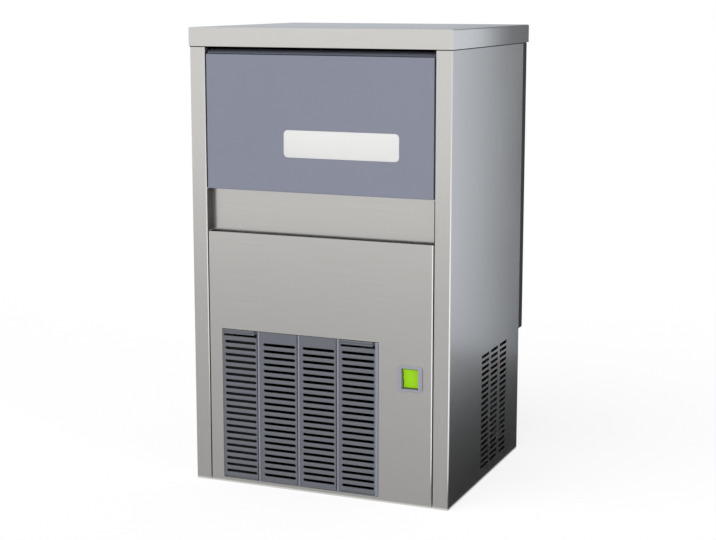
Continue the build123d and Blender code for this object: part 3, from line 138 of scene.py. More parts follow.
def surface(name, colour, roughness, metallic=0.0):
    """A new material, its node tree, its surface shader, and the object's coordinates for its patterns."""
    material = bpy.data.materials.new(name)
    material.use_nodes = True
    tree = material.node_tree
    shader = tree.nodes["Principled BSDF"]
    shader.inputs["Base Color"].default_value = (*colour, 1)
    shader.inputs["Roughness"].default_value = roughness
    shader.inputs["Metallic"].default_value = metallic
    place = node(tree, "ShaderNodeTexCoord").outputs["Object"]
    return material, tree, shader, place


def dress(tree, shader, pattern, shades=None, gloss=None, relief=None):
    """Puts a 0 to 1 pattern into the colour's shade, the roughness, and a relief (strength, depth)."""
    if shades:
        base = shader.inputs["Base Color"]
        ramp = node(tree, "ShaderNodeValToRGB", [("Fac", pattern)])
        for element, shade in zip(ramp.color_ramp.elements, shades):
            element.color = (*[min(c * shade, 1) for c in base.default_value[:3]], 1)
        tree.links.new(ramp.outputs["Color"], base)
    if gloss:
        spread = node(tree, "ShaderNodeMapRange", [("Value", pattern)],
                      **{"To Min": gloss[0], "To Max": gloss[1]})
        tree.links.new(spread.outputs["Result"], shader.inputs["Roughness"])
    if relief:
        bump = node(tree, "ShaderNodeBump", [("Height", pattern)], Strength=relief[0], Distance=relief[1])
        tree.links.new(bump.outputs["Normal"], shader.inputs["Normal"])


def graded(tree, along, low, high, marks, colour=(1, 1, 1), stepped=False):
    """Colour that follows marks (share of the way, shade) along an axis of the object, from low to high."""
    place = node(tree, "ShaderNodeTexCoord").outputs["Object"]
    reach = node(tree, "ShaderNodeSeparateXYZ", [("Vector", place)]).outputs[along]
    share = node(tree, "ShaderNodeMapRange", [("Value", reach)], **{"From Min": low, "From Max": high})
    ramp = node(tree, "ShaderNodeValToRGB", [("Fac", share.outputs["Result"])])
    ramp.color_ramp.interpolation = "CONSTANT" if stepped else "LINEAR"
    elements = ramp.color_ramp.elements
    while len(elements) < len(marks):
        elements.new(1.0)
    for element, (position, shade) in zip(elements, marks):
        element.position = position
        element.color = (*[shade * c for c in colour], 1)
    return ramp.outputs["Color"]


def band(material, marks):
    """Paints shade into a material by marks (height in millimetres, shade), each from its height up to the
    next.
    """
    tree = material.node_tree
    base = tree.nodes["Principled BSDF"].inputs["Base Color"]
    foot, head = 600, 625
    shares = [((height - foot) / (head - foot), shade) for height, shade in marks]
    shade = graded(tree, "Z", foot * MM, head * MM, shares, stepped=True)
    lined = node(tree, "ShaderNodeVectorMath", [(0, base.links[0].from_socket), (1, shade)],
                 operation="MULTIPLY")
    tree.links.new(lined.outputs["Vector"], base)
    return material


@made_once
def brushed_steel(name, grain):
    """Cold-rolled AISI 304 stainless sheet, belt-brushed: a pale sheen that the fine lines draw out."""
    material, tree, shader, place = surface(name, tuple(colours().steel), 0.38, 0.95)
    # Real scratches are 0.02 to 0.05 mm wide, too fine to show, so they are drawn 0.385 mm wide.
    stretch = [per_metre(0.385)] * 3
    stretch["XYZ".index(grain)] = per_metre(71.4)
    scaled = node(tree, "ShaderNodeMapping", [("Vector", place)], Scale=stretch).outputs["Vector"]
    scratches = node(tree, "ShaderNodeTexNoise", [("Vector", scaled)], Scale=1.0, Detail=3.0).outputs["Fac"]
    # Rolling leaves clouds of gloss, about 200 mm across.
    cloud = node(tree, "ShaderNodeTexNoise", [("Vector", place)], Scale=per_metre(200), Detail=4.0)
    mixed = node(tree, "ShaderNodeMath", [(0, scratches), (1, cloud.outputs["Fac"])], operation="MULTIPLY")
    dress(tree, shader, scratches, shades=(0.93, 1.05), relief=(0.12, 0.05 * MM))
    dress(tree, shader, mixed.outputs["Value"], gloss=(0.2, 0.36))
    return material


@made_once
def zinc_plated(name):
    """Mild steel sheet, electroplated with zinc: pale grey metal with faint cloudy spangle."""
    material, tree, shader, place = surface(name, srgb("7f8385"), 0.42, 0.9)
    # Spangle about 6 mm across
    spangle = node(tree, "ShaderNodeTexVoronoi", [("Vector", place)], Scale=per_metre(5.88))
    dress(tree, shader, spangle.outputs["Distance"], (0.85, 1.12), (0.34, 0.55))
    return material


@made_once
def moulded_plastic(name, colour, roughness=0.42, texture=0.1):
    """Plastic or rubber moulded in a spark-eroded tool: an even sheen, slightly duller in places."""
    material, tree, shader, place = surface(name, colour, roughness)
    # The tool's grit is about 0.1 mm, too fine to show, so it is drawn four times as coarse.
    grit = node(tree, "ShaderNodeTexNoise", [("Vector", place)], Scale=per_metre(0.417), Detail=2.0)
    # The flow of the melt leaves clouds of gloss, about 110 mm across.
    flow = node(tree, "ShaderNodeTexNoise", [("Vector", place)], Scale=per_metre(111), Detail=3.0)
    dress(tree, shader, flow.outputs["Fac"], (0.96, 1.04), (roughness - 0.06, roughness + 0.06))
    dress(tree, shader, grit.outputs["Fac"], relief=(texture, 0.08 * MM))
    return material


@made_once
def door_skin(name):
    """Grey moulded ABS, with a painted shadow line where the door's flat face ends and its roll starts, and
    painted shade on the roll under the lid.
    """
    # Painted shade: 0.3 is the shadow line at the top of the face, 0.92 the roll in the lid's shade
    return band(moulded_plastic(name, tuple(colours().door)), ((600, 1.0), (613.25, 0.3), (614.5, 0.92)))


@made_once
def insulation_foam(name):
    """Poured polyurethane foam: pale straw skin with shallow pits, and a black top edge that is painted
    shade for the seam under the lid.
    """
    material, tree, shader, place = surface(name, srgb("e4d6ac"), 0.85)
    # Burst cells of the skin, about 2.4 mm across
    pits = node(tree, "ShaderNodeTexVoronoi", [("Vector", place)], Scale=per_metre(2.38))
    dress(tree, shader, pits.outputs["Distance"], (0.82, 1.05), relief=(0.4, 0.4 * MM))
    # Painted shade: black from 606 mm up, where the foam shows in the seam under the lid
    return band(material, ((600, 1.0), (606, 0.02)))


@made_once
def bare_metal(name, colour, roughness):
    """Drawn copper tube or rolled aluminium foil: bright metal with soft patches of tarnish."""
    material, tree, shader, place = surface(name, colour, roughness, 1.0)
    # Patches of tarnish about 17 mm across
    tarnish = node(tree, "ShaderNodeTexNoise", [("Vector", place)], Scale=per_metre(16.7), Detail=5.0)
    dress(tree, shader, tarnish.outputs["Fac"], (0.75, 1.1), (roughness - 0.08, roughness + 0.15))
    return material


@made_once
def stove_enamel(name):
    """Black stove enamel, sprayed: a gloss that is broken by orange peel."""
    material, tree, shader, place = surface(name, srgb("121316"), 0.3)
    # Orange peel about 1.4 mm across
    peel = node(tree, "ShaderNodeTexNoise", [("Vector", place)], Scale=per_metre(1.43), Detail=2.0)
    dress(tree, shader, peel.outputs["Fac"], gloss=(0.22, 0.38), relief=(0.15, 0.1 * MM))
    return material


@made_once
def lit_rocker(name):
    """Translucent lime polycarbonate, moulded: it glows evenly from the pilot lamp behind it."""
    colour = tuple(colours().rocker)
    material, tree, shader, place = surface(name, colour, 0.45)
    shader.inputs["Emission Color"].default_value = (*colour, 1)
    shader.inputs["Specular IOR Level"].default_value = 0.25
    shader.inputs["Emission Strength"].default_value = 0.2
    shader.inputs["Subsurface Weight"].default_value = 0.15
    shader.inputs["Subsurface Radius"].default_value = (2 * MM, 3 * MM, 1 * MM)
    # Haze about 8 mm across
    haze = node(tree, "ShaderNodeTexNoise", [("Vector", place)], Scale=per_metre(8.33), Detail=2.0)
    dress(tree, shader, haze.outputs["Fac"], (0.9, 1.06))
    return material


# Materials that several pieces share

def front_steel():
    """Stainless sheet with its grain across the machine."""
    return brushed_steel("Brushed stainless, front", "X")


def zinc_steel():
    """Plated sheet of the base and the back."""
    return zinc_plated("Zinc-plated steel")


def grille_abs():
    """Grey moulded ABS, darker than the door's."""
    return moulded_plastic("Dark grey ABS", tuple(colours().grille))


def white_abs():
    """White moulded ABS with a soft gloss, as it is used near food."""
    return moulded_plastic("White food-grade ABS", srgb("e6e6e3"), 0.35)


def label_abs():
    """White ABS sheet, nearly smooth: the brightest and glossiest of the plastics."""
    return moulded_plastic("White label plate", srgb("e8e7e5"), 0.3, 0.03)


def black_abs():
    """Black moulded ABS, dull. In the switch's well it is painted shade for the well's walls."""
    return moulded_plastic("Black ABS", srgb("0c0d10"), 0.7)


def pale_polyamide():
    """Pale grey moulded polyamide with a soft gloss."""
    return moulded_plastic("Pale grey polyamide", srgb("9b9ba7"), 0.35)


def nitrile_rubber():
    """Black moulded rubber, matt and slightly rough."""
    return moulded_plastic("Nitrile rubber", srgb("17181a"), 0.7, 0.2)


# Making pieces

def finish_piece(name, mesh, material, body, replaced=(), smooth=35.0):
    """Turns a bmesh into a named object with its finish, and puts it on its body."""
    bmesh.ops.recalc_face_normals(mesh, faces=mesh.faces)
    data = bpy.data.meshes.new(name)
    mesh.to_mesh(data)
    mesh.free()
    data.materials.append(material)
    for face in data.polygons:
        face.use_smooth = True
    data.set_sharp_from_angle(angle=math.radians(smooth))
    piece = bpy.data.objects.new(name, data)
    bpy.context.scene.collection.objects.link(piece)
    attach(piece, body)
    if replaced:
        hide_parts(*replaced)


def cuboid(mesh, low, high):
    """Adds a box between two corners, in metres, and returns its vertices."""
    low, high = Vector(low), Vector(high)
    place = Matrix.Translation((low + high) / 2) @ Matrix.Diagonal((*(high - low), 1))
    return bmesh.ops.create_cube(mesh, size=1, matrix=place)["verts"]


def soften(mesh, edges, width, segments=2):
    """Rounds the given edges."""
    bmesh.ops.bevel(
        mesh, geom=list(edges), offset=width, segments=segments, profile=0.5, affect="EDGES", material=-1,
        clamp_overlap=True)


def edges_of(verts):
    """All edges between the given vertices."""
    chosen = set(verts)
    return {e for v in verts for e in v.link_edges if e.other_vert(v) in chosen}


def rounded_box(mesh, low, high, width, segments=2):
    """Adds a box with all its edges rounded."""
    soften(mesh, edges_of(cuboid(mesh, low, high)), width, segments)


def paired_boxes(mesh, near, far, low, high, width):
    """Adds a rounded box at the left and at the right, between two x and two corners (y, z)."""
    for side in (-1, 1):
        left, right = sorted((side * near, side * far))
        rounded_box(mesh, (left, *low), (right, *high), width)


def rounded_loop(mesh, width, height, radius, depth, centre):
    """Closed loop of edges in the shape of a rounded rectangle, at one depth behind the wall's face."""
    place = Matrix.Translation((centre[0], depth, centre[1])) @ Matrix.Rotation(math.radians(90), 4, "X")
    corners = bmesh.ops.create_grid(
        mesh, x_segments=1, y_segments=1, size=0.5,
        matrix=place @ Matrix.Diagonal((width, height, 1, 1)))["verts"]
    longest = 0.499 * min(width, height)
    rounded = bmesh.ops.bevel(
        mesh, geom=corners, offset=min(radius, longest), segments=4, profile=0.5, affect="VERTICES",
        material=-1, clamp_overlap=True)["verts"]
    face = rounded[0].link_faces[0]
    edges = face.edges[:]
    bmesh.ops.delete(mesh, geom=[face], context="FACES_ONLY")
    return edges


def rounded_tube(mesh, shapes, centre):
    """Walls between rounded rectangles (width, height, radius, depth), in turn, and the last loop."""
    loops = [rounded_loop(mesh, *shape, centre) for shape in shapes]
    faces = []
    for first, second in zip(loops, loops[1:]):
        faces += bmesh.ops.bridge_loops(mesh, edges=first + second)["faces"]
    return faces, loops[-1]


def slotted_cell(mesh, centre, cell, slot, front, back, lip):
    """Faces of one cell of a moulded wall: a rectangle with a round-ended slot whose lips are rounded."""
    # The cell's corners are rounded too, so that all loops have as many edges, but far too little to see.
    hairline = 0.004 * MM
    shapes = [(*cell, hairline, front)]
    for grow, depth in ((lip, front), (0.35 * lip, front + 0.25 * lip), (0.0, front + lip), (0.0, back)):
        shapes.append((slot[0] + 2 * grow, slot[1] + 2 * grow, slot[1] / 2 + grow, depth))
    shapes.append((*cell, hairline, back))
    return rounded_tube(mesh, shapes, centre)[0]


class ICE_OT_finishes(bpy.types.Operator):
    """Give every CAD node the material of the real piece"""

    bl_idname = "ice_machine.finishes"
    bl_label = "CAD finishes"

    def execute(self, context):
        finishes = {
            front_steel(): ("front_panel", "apron", "top_lid"),
            brushed_steel("Brushed stainless, sides", "Z"): ("side_panel_left", "side_panel_right"),
            door_skin("Grey ABS door skin"): ("door_outer",),
            grille_abs(): ("grille", "grille_latch_left", "grille_latch_right"),
            pale_polyamide(): ("switch_housing",),
            white_abs(): (
                "bin_liner", "door_inner", "water_tank", "evaporator_frame", "spray_bar", "ice_chute",
                "curtain_flap_1", "curtain_flap_2", "curtain_flap_3", "curtain_flap_4", "drain_pipe",
                "inlet_pipe", "inlet_valve"),
            label_abs(): ("door_label",),
            black_abs(): (
                "rear_shell", "hinge_blocks", "air_filter", "fan_blades", "water_pump", "cable_gland",
                "control_box"),
            zinc_steel(): (
                "base_pan", "foot_inserts", "rear_panel", "panel_screws", "bin_bar", "hinge_pins",
                "condenser_frame", "fan_shroud", "fan_bracket", "fan_shaft", "curtain_rod"),
            insulation_foam("Polyurethane foam"): ("bin_insulation",),
            # Closed-cell rubber foam sheet, cut: dead matt, and black, which is also painted shade where it
            # shows in the seam under the lid
            moulded_plastic("Black rubber foam", srgb("1a1b1e"), 0.85, 0.3): ("lid_insulation",),
            bare_metal("Copper tube", srgb("7a4630"), 0.38): (
                "condenser_coil", "discharge_pipe", "suction_pipe", "condenser_outlet", "filter_drier",
                "liquid_pipe", "evaporator", "evaporator_coil"),
            bare_metal("Aluminium fin stock", srgb("c9cbcd"), 0.35): ("condenser_fins",),
            stove_enamel("Black enamel"): ("fan_motor", "compressor"),
            nitrile_rubber(): ("door_bumpers", "compressor_grommets"),
            lit_rocker("Lime polycarbonate"): ("switch_rocker",),
        }
        for material, names in finishes.items():
            for name in names:
                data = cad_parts[name].data
                data.materials.clear()
                data.materials.append(material)
        return {"FINISHED"}


class ICE_OT_lid(bpy.types.Operator):
    """Make the pressed lid with rounded folds"""

    bl_idname = "ice_machine.lid"
    bl_label = "Lid"

    def execute(self, context):
        low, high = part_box("top_lid")
        sheet = 1.0 * MM
        mesh = bmesh.new()
        cuboid(mesh, low, high)
        under = [f for f in mesh.faces if f.normal.z < -0.5]
        bmesh.ops.delete(mesh, geom=under, context="FACES_ONLY")
        folds = [e for e in mesh.edges if len(e.link_faces) == 2]
        soften(mesh, folds, sizes().lid_bend, 5)
        bmesh.ops.recalc_face_normals(mesh, faces=mesh.faces)
        bmesh.ops.solidify(mesh, geom=mesh.faces[:], thickness=sheet)
        finish_piece("lid", mesh, front_steel(), "cabinet", ("top_lid",), smooth=50)
        return {"FINISHED"}


class ICE_OT_bead(bpy.types.Operator):
    """Make the black bead on the top edges of the two side sheets, painted shade in the seam under the lid
    """

    bl_idname = "ice_machine.bead"
    bl_label = "Lid bead"

    def execute(self, context):
        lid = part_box("top_lid")[0]
        outside, inside, stile_end = 193.4 * MM, 192.3 * MM, 170.4 * MM
        front, corner, back = lid.y + 2.1 * MM, lid.y + 3.2 * MM, 147.8 * MM
        foot, head = lid.z - 1.4 * MM, lid.z - 0.1 * MM
        overlap, edge = 0.2 * MM, 0.3 * MM
        mesh = bmesh.new()
        paired_boxes(mesh, inside, outside, (corner - overlap, foot), (back, head), edge)
        paired_boxes(mesh, stile_end, outside, (front, foot), (corner, head), edge)
        # Painted shade: the black bead makes the seam under the lid read dark
        finish_piece("lid_bead", mesh, nitrile_rubber(), "cabinet")
        return {"FINISHED"}


class ICE_OT_label(bpy.types.Operator):
    """Make the bare label plate in the door"""

    bl_idname = "ice_machine.label"
    bl_label = "Label plate"

    def execute(self, context):
        low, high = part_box("door_label")
        corner, lip, hair = 6.0 * MM, 0.35 * MM, 0.01 * MM
        mesh = bmesh.new()
        plate = edges_of(cuboid(mesh, low, high))
        depths = {e for e in plate if abs(e.verts[0].co.y - e.verts[1].co.y) > hair}
        soften(mesh, depths, corner, 10)
        rim = [e for e in mesh.edges if all(abs(v.co.y - low.y) < hair for v in e.verts)]
        soften(mesh, rim, lip, 2)
        finish_piece("label_plate", mesh, label_abs(), "door", ("door_label",))
        return {"FINISHED"}


# The grille in millimetres, as it was measured in the photograph: the ends of the columns of slots, the
# middles of the ribs and of the first slot, the foot of the latches' windows, and how deep face and back are
SLOT_COLUMNS = ((-144.6, -96.0), (-84.1, -35.0), (-23.4, 24.6), (35.9, 84.3))
RIBS = (-91.2, -29.2, 30.4)
FIRST_SLOT = 207.8
WINDOW_FOOT = 216.1
GRILLE_FACE, GRILLE_BACK = -172.3, -170.1


class ICE_OT_grille(bpy.types.Operator):
    """Make the moulded grille: bars between the slots, ribs, rims, skirt and hooks"""

    bl_idname = "ice_machine.grille"
    bl_label = "Grille"

    # Plain strip beside each column, which belongs to its cells
    margin = 1.6 * MM

    def execute(self, context):
        low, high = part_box("grille")
        left, right, foot, top = low.x, high.x, 7.8 * MM, high.z
        front, back = GRILLE_FACE * MM, GRILLE_BACK * MM
        edge = sizes().soft_edge
        mesh, ribs = bmesh.new(), bmesh.new()
        self.columns(mesh, front, back, foot, top)
        inner = [x * MM + side * self.margin for column in SLOT_COLUMNS for x, side in zip(column, (-1, 1))]
        rim = 4.2 * MM
        cuboid(mesh, (left + rim / 4, front, foot), (inner[0], back, top))
        cuboid(mesh, (inner[-1], front, foot), (right - rim / 2, back, top))
        groove_width, groove_depth = 3.1 * MM, 1.7 * MM
        for x0, x1, rib in zip(inner[1:-1:2], inner[2:-1:2], RIBS):
            rib *= MM
            groove = rib - groove_width
            cuboid(mesh, (x0, front, foot), (groove, back, top))
            cuboid(mesh, (groove, front + groove_depth, foot), (rib, back, top))
            cuboid(mesh, (rib, front, foot), (x1, back, top))
            self.rib(ribs, rib, front, foot, top)
        rounded_box(ribs, (right - rim, front - 0.9 * MM, foot), (right, back, top), 2 * edge, 3)
        rounded_box(mesh, (left, front - 0.7 * MM, foot), (left + rim / 2, back, top), 2 * edge, 3)
        self.skirt(mesh, left, right, back, top)
        hook_half, hook_foot, hook_top = 15 * MM, 2.5 * MM, 13.8 * MM
        for x0, x1 in SLOT_COLUMNS[1:-1]:
            middle = (x0 + x1) / 2 * MM
            rounded_box(mesh, (middle - hook_half, back - 0.2 * MM, hook_foot),
                        (middle + hook_half, back + 1.8 * MM, hook_top), edge)
        finish_piece("grille_louvres", mesh, grille_abs(), "grille", ("grille",))
        # The ribs and the right rim are lighter than the grille: a painted highlight on their rounded tops,
        # with a smoother gloss
        polished = moulded_plastic("Polished grey ABS", srgb("888b97"), 0.3)
        finish_piece("grille_ribs", ribs, polished, "grille")
        return {"FINISHED"}

    def columns(self, mesh, front, back, foot, top):
        """Four columns of round-ended slots, with the plain fields above and below them."""
        pitch, half, rows = sizes().slot_pitch, sizes().slot_height / 2, sizes().slot_rows
        first, last = FIRST_SLOT * MM, FIRST_SLOT * MM - (rows - 1) * pitch
        hair = 0.01 * MM
        for x0, x1 in SLOT_COLUMNS:
            width = (x1 - x0) * MM
            cell = slotted_cell(
                mesh, ((x0 + x1) / 2 * MM, first), (width + 2 * self.margin, pitch), (width, 2 * half),
                front, back, 1.3 * sizes().soft_edge)
            pieces = {part for face in cell for part in (face, *face.edges, *face.verts)}
            bmesh.ops.spin(
                mesh, geom=list(pieces), cent=(0, 0, 0), axis=(0, 0, 1), dvec=(0, 0, -pitch), angle=0,
                steps=rows - 1, use_duplicate=True)
        bmesh.ops.remove_doubles(mesh, verts=mesh.verts, dist=hair)
        for column in SLOT_COLUMNS:
            outer = column in (SLOT_COLUMNS[0], SLOT_COLUMNS[-1])
            left, right = column[0] * MM - self.margin, column[1] * MM + self.margin
            head = WINDOW_FOOT * MM if outer else top
            cuboid(mesh, (left, front, first + pitch / 2), (right, back, head))
            # The outer columns end in a slot that the wall's foot cuts off.
            low = last - pitch + half if outer else foot
            cuboid(mesh, (left, front, low), (right, back, last - pitch / 2))

    def rib(self, mesh, x, front, foot, top):
        """Raised round-topped rib, which stands out of the wall and reaches into it."""
        half, stands_out, reaches_in = 1.3 * MM, 1.1 * MM, 1.9 * MM
        rounded_box(mesh, (x - half, front - stands_out, foot), (x + half, front + reaches_in, top),
                    half / 2, 3)

    def skirt(self, mesh, left, right, back, top):
        """Walls behind the face that hold the air filter."""
        wall, deep, low, edge = 1.5 * MM, 8.0 * MM, 10.0 * MM, 0.2 * MM
        front, rear = back - edge, back + deep
        rounded_box(mesh, (left, front, low), (left + wall, rear, top), edge, 1)
        rounded_box(mesh, (right - wall, front, low), (right, rear, top), edge, 1)
        rounded_box(mesh, (left, front, low), (right, rear, low + wall), edge, 1)
        # The top wall leaves room for the latches.
        room = 3 * MM
        x0, x1 = SLOT_COLUMNS[0][1] * MM + room, SLOT_COLUMNS[-1][0] * MM - room
        rounded_box(mesh, (x0, front, top - wall), (x1, rear, top), edge, 1)


class ICE_OT_latches(bpy.types.Operator):
    """Make the two sliding latch tabs with their finger grooves"""

    bl_idname = "ice_machine.latches"
    bl_label = "Grille latches"

    def execute(self, context):
        front, back = GRILLE_FACE * MM, -169.5 * MM
        plate_front, plate_back, plate_top = -169.8 * MM, -168.2 * MM, 225.2 * MM
        foot, head = 219.4 * MM, 225.5 * MM
        lip_height, groove_top, tooth_half = 2.2 * MM, 3.0 * MM, 8 * MM
        edge, plate_edge = sizes().soft_edge, 0.2 * MM
        for side, column in (("left", SLOT_COLUMNS[0]), ("right", SLOT_COLUMNS[-1])):
            low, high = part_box(f"grille_latch_{side}")
            x0, x1, middle = column[0] * MM - 1.4 * MM, column[1] * MM - 2.0 * MM, sum(column) / 2 * MM
            mesh = bmesh.new()
            rounded_box(mesh, (x0, front + 0.5 * MM, foot), (x1, back, head), edge)
            rounded_box(mesh, (x0, front - 0.4 * MM, foot), (x1, back, foot + lip_height), edge)
            rounded_box(mesh, (x0, front, foot + groove_top), (x1, back, head), edge)
            rounded_box(mesh, (low.x, plate_front, foot + 0.8 * MM), (high.x, plate_back, plate_top),
                        plate_edge)
            rounded_box(mesh, (middle - tooth_half, plate_front, plate_top - 0.2 * MM),
                        (middle + tooth_half, plate_back, high.z), plate_edge)
            finish_piece(f"latch_tab_{side}", mesh, grille_abs(), f"latch_{side}",
                         (f"grille_latch_{side}",))
        return {"FINISHED"}


class ICE_OT_bezel(bpy.types.Operator):
    """Make the switch housing's rounded bezel with the well behind it"""

    bl_idname = "ice_machine.bezel"
    bl_label = "Switch bezel"

    def execute(self, context):
        centre = (137.0 * MM, 179.3 * MM)
        outside, radius = 36.0, 3.4
        # From the panel forward over the outside, in millimetres: how much narrower, and the depth
        shapes = []
        for shrink, depth in ((0.0, -172.0), (0.0, -173.0), (0.35, -173.7), (1.0, -174.0), (2.0, -173.95)):
            side = (outside - 2 * shrink) * MM
            shapes.append((side, side, (radius - shrink) * MM, depth * MM))
        # Then back into the opening: how much wider, and the depth
        for grow, depth in ((1.1, -173.6), (0.4, -173.3), (0.0, -172.7), (0.0, -172.2), (2.0, -172.2)):
            shapes.append(self.opening(grow, depth))
        mesh = bmesh.new()
        rounded_tube(mesh, shapes, centre)
        finish_piece("switch_bezel", mesh, pale_polyamide(), "cabinet")
        well = bmesh.new()
        shapes = [self.opening(grow, depth) for grow, depth in ((1.4, -172.3), (0.0, -172.3), (0.0, -163.0))]
        bottom = rounded_tube(well, shapes, centre)[1]
        bmesh.ops.contextual_create(well, geom=bottom)
        # Painted shade: the well is black, for its walls in the shade of the bezel's lip
        finish_piece("switch_well", well, black_abs(), "cabinet")
        return {"FINISHED"}

    def opening(self, grow, depth):
        """Shape of the bezel's opening, wider by a margin on every side, at a depth; both in millimetres."""
        width, height, radius = 26.0, 30.4, 1.2
        return (width + 2 * grow) * MM, (height + 2 * grow) * MM, (radius + grow) * MM, depth * MM


class ICE_OT_rocker(bpy.types.Operator):
    """Make the lit rocker with its hollowed face"""

    bl_idname = "ice_machine.rocker"
    bl_label = "Rocker switch"

    def execute(self, context):
        half_width, half_height, reach, back = 11.3 * MM, 13.3 * MM, 3.2 * MM, 0.6 * MM
        hollow, radius = 1.2 * MM, 0.8 * MM
        pin_radius, pin_length = 1.5 * MM, 24.6 * MM
        pivot, tilt = (137.3 * MM, -166.4 * MM, 179.5 * MM), math.radians(7)
        mesh = bmesh.new()
        cuboid(mesh, (-half_width, -reach, -half_height), (half_width, -back, half_height))
        across = [e for e in mesh.edges if abs(e.verts[0].co.z - e.verts[1].co.z) > half_height]
        bmesh.ops.subdivide_edges(mesh, edges=across, cuts=9)
        for vert in mesh.verts:
            if vert.co.y < -0.9 * reach:
                vert.co.y += hollow * math.cos(vert.co.z / half_height * math.pi / 2)
        rim = [e for e in mesh.edges if e.calc_face_angle(0) > math.radians(50)]
        soften(mesh, rim, radius, 3)
        bmesh.ops.create_cone(
            mesh, cap_ends=True, segments=32, radius1=pin_radius, radius2=pin_radius, depth=pin_length,
            matrix=Matrix.Rotation(math.radians(90), 4, "Y"))
        place = Matrix.Translation(pivot) @ Matrix.Rotation(tilt, 4, "X")
        bmesh.ops.transform(mesh, matrix=place, verts=mesh.verts)
        finish_piece("rocker_cap", mesh, lit_rocker("Lime polycarbonate"), "rocker",
                     ("switch_rocker",), smooth=40)
        return {"FINISHED"}


class ICE_OT_louvres(bpy.types.Operator):
    """Make the pressed hoods over the vents of the lower rear panel"""

    bl_idname = "ice_machine.louvres"
    bl_label = "Rear louvres"

    def execute(self, context):
        columns, step, width, first = 4, 43.0 * MM, 34.6 * MM, 143.0 * MM
        rows, pitch, lowest = 9, 8.6 * MM, 20.0 * MM
        outside, lap, sheet = 147.0 * MM, 0.6 * MM, 0.6 * MM
        mesh = bmesh.new()
        for column in range(columns):
            left = first - column * step
            for row in range(rows):
                self.hood(mesh, left - lap, left + width, outside - 0.2 * MM, lowest + row * pitch)
        bmesh.ops.solidify(mesh, geom=mesh.faces[:], thickness=sheet)
        finish_piece("rear_louvres", mesh, zinc_steel(), "cabinet")
        return {"FINISHED"}

    def hood(self, mesh, x0, x1, y, z):
        """One hood: a quarter round from the slot's top edge, a straight lip below it, and closed ends."""
        radius, lip, top = 4.2 * MM, 2.2 * MM, z + 2.4 * MM
        start = [mesh.verts.new((x, y, top)) for x in (x0, x1)]
        edge = mesh.edges.new(start)
        turned = bmesh.ops.spin(
            mesh, geom=[*start, edge], cent=(0, y, top - radius), axis=(1, 0, 0), angle=math.radians(-90),
            steps=5)
        rim = [e for e in turned["geom_last"] if isinstance(e, bmesh.types.BMEdge)]
        drawn = bmesh.ops.extrude_edge_only(mesh, edges=rim)["geom"]
        low = [v for v in drawn if isinstance(v, bmesh.types.BMVert)]
        bmesh.ops.translate(mesh, vec=(0, 0, -lip), verts=low)
        hair = 0.001 * MM
        for x in (x0, x1):
            arc = [v for v in mesh.verts if abs(v.co.x - x) < hair and top - 7 * MM < v.co.z < top + hair]
            foot = mesh.verts.new((x, y, top - radius - lip))
            bmesh.ops.contextual_create(mesh, geom=[*sorted(arc, key=lambda v: -v.co.z), foot])


class ICE_OT_recess(bpy.types.Operator):
    """Make the black strip on the panel's hem and the dark trim at the ends of the finger recess, both
    painted shade
    """

    bl_idname = "ice_machine.recess"
    bl_label = "Finger recess shade strips"

    def execute(self, context):
        edge = 0.3 * MM
        half, front, back, foot, top = (x * MM for x in (168.0, -167.0, -160.0, 364.9, 365.7))
        strip = bmesh.new()
        rounded_box(strip, (-half, front, foot), (half, back, top), edge)
        # Painted shade: the black strip stands for the shadowed gap between the hem and the apron
        finish_piece("recess_strip", strip, nitrile_rubber(), "cabinet")
        inner, outer, front, back, foot = (x * MM for x in (169.2, 170.0, -170.8, -158.2, 366.2))
        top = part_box("door_outer")[0].z - 1.0 * MM
        trim = bmesh.new()
        paired_boxes(trim, inner, outer, (front, foot), (back, top), edge)
        # Dark grey matt trim at either end of the recess: painted shade for the stiles' returns, which lie
        # in shadow there
        grey = moulded_plastic("Grey rubber trim", srgb("4b4b4a"), 0.7, 0.2)
        finish_piece("recess_trim", trim, grey, "cabinet")
        return {"FINISHED"}


class ICE_OT_collar(bpy.types.Operator):
    """Make the white collar beside the bin's opening, which covers the edge of the foam"""

    bl_idname = "ice_machine.collar"
    bl_label = "Bin collar"

    def execute(self, context):
        inner, outer, front, back, foot, top = (
            x * MM for x in (159.8, 191.9, -140.3, -138.2, 440.3, 571.5))
        mesh = bmesh.new()
        paired_boxes(mesh, inner, outer, (front, foot), (back, top), 0.4 * MM)
        finish_piece("bin_collar", mesh, white_abs(), "cabinet")
        return {"FINISHED"}


# Cards that only reflections see, in metres: name, middle, size, the axis along which they are graded,
# colour, and marks (share of the way, shade)
COOL, PLAIN = (0.86, 0.92, 1.0), (1, 1, 1)
CARDS = (
    ("Tall rear card", (-0.295, 0.75, 0.7), (1.67, 0.02, 1.4), "X", COOL,
     ((0.0, 0.68), (0.6, 0.64), (0.85, 0.08), (0.91, 0.13), (0.935, 0.4), (0.976, 0.8), (1.0, 1.0))),
    ("Far rear card", (1.5, 4.0, 1.5), (9.0, 0.02, 3.0), "X", COOL, ((0.0, 1.0), (1.0, 1.0))),
    ("Side floor card", (1.6945, 1.725, 0.002), (3.0, 4.35, 0.001), "X", COOL,
     ((0.0, 0.01), (0.022, 0.015), (0.052, 0.04), (0.069, 0.09), (0.11, 0.4), (0.166, 0.7), (0.3, 0.97))),
    ("Front floor card", (-0.9, -2.2875, 0.002), (3.4, 4.225, 0.001), "Y", PLAIN,
     ((0.0, 1.0), (0.45, 0.72), (1.0, 0.48))),
    ("Corner floor card", (1.73, -1.625, 0.004), (3.04, 2.75, 0.001), "Y", PLAIN, ((0.0, 1.6), (1.0, 1.6))),
)
# Lamps: name, place in metres from which it shines on the floor's middle, strength, and width in degrees
SUNS = (("Key light", (-0.5, -1.2, 1.5), 1.5, 60), ("Edge light", (1.5, -0.7, 0.5), 0.45, 24))
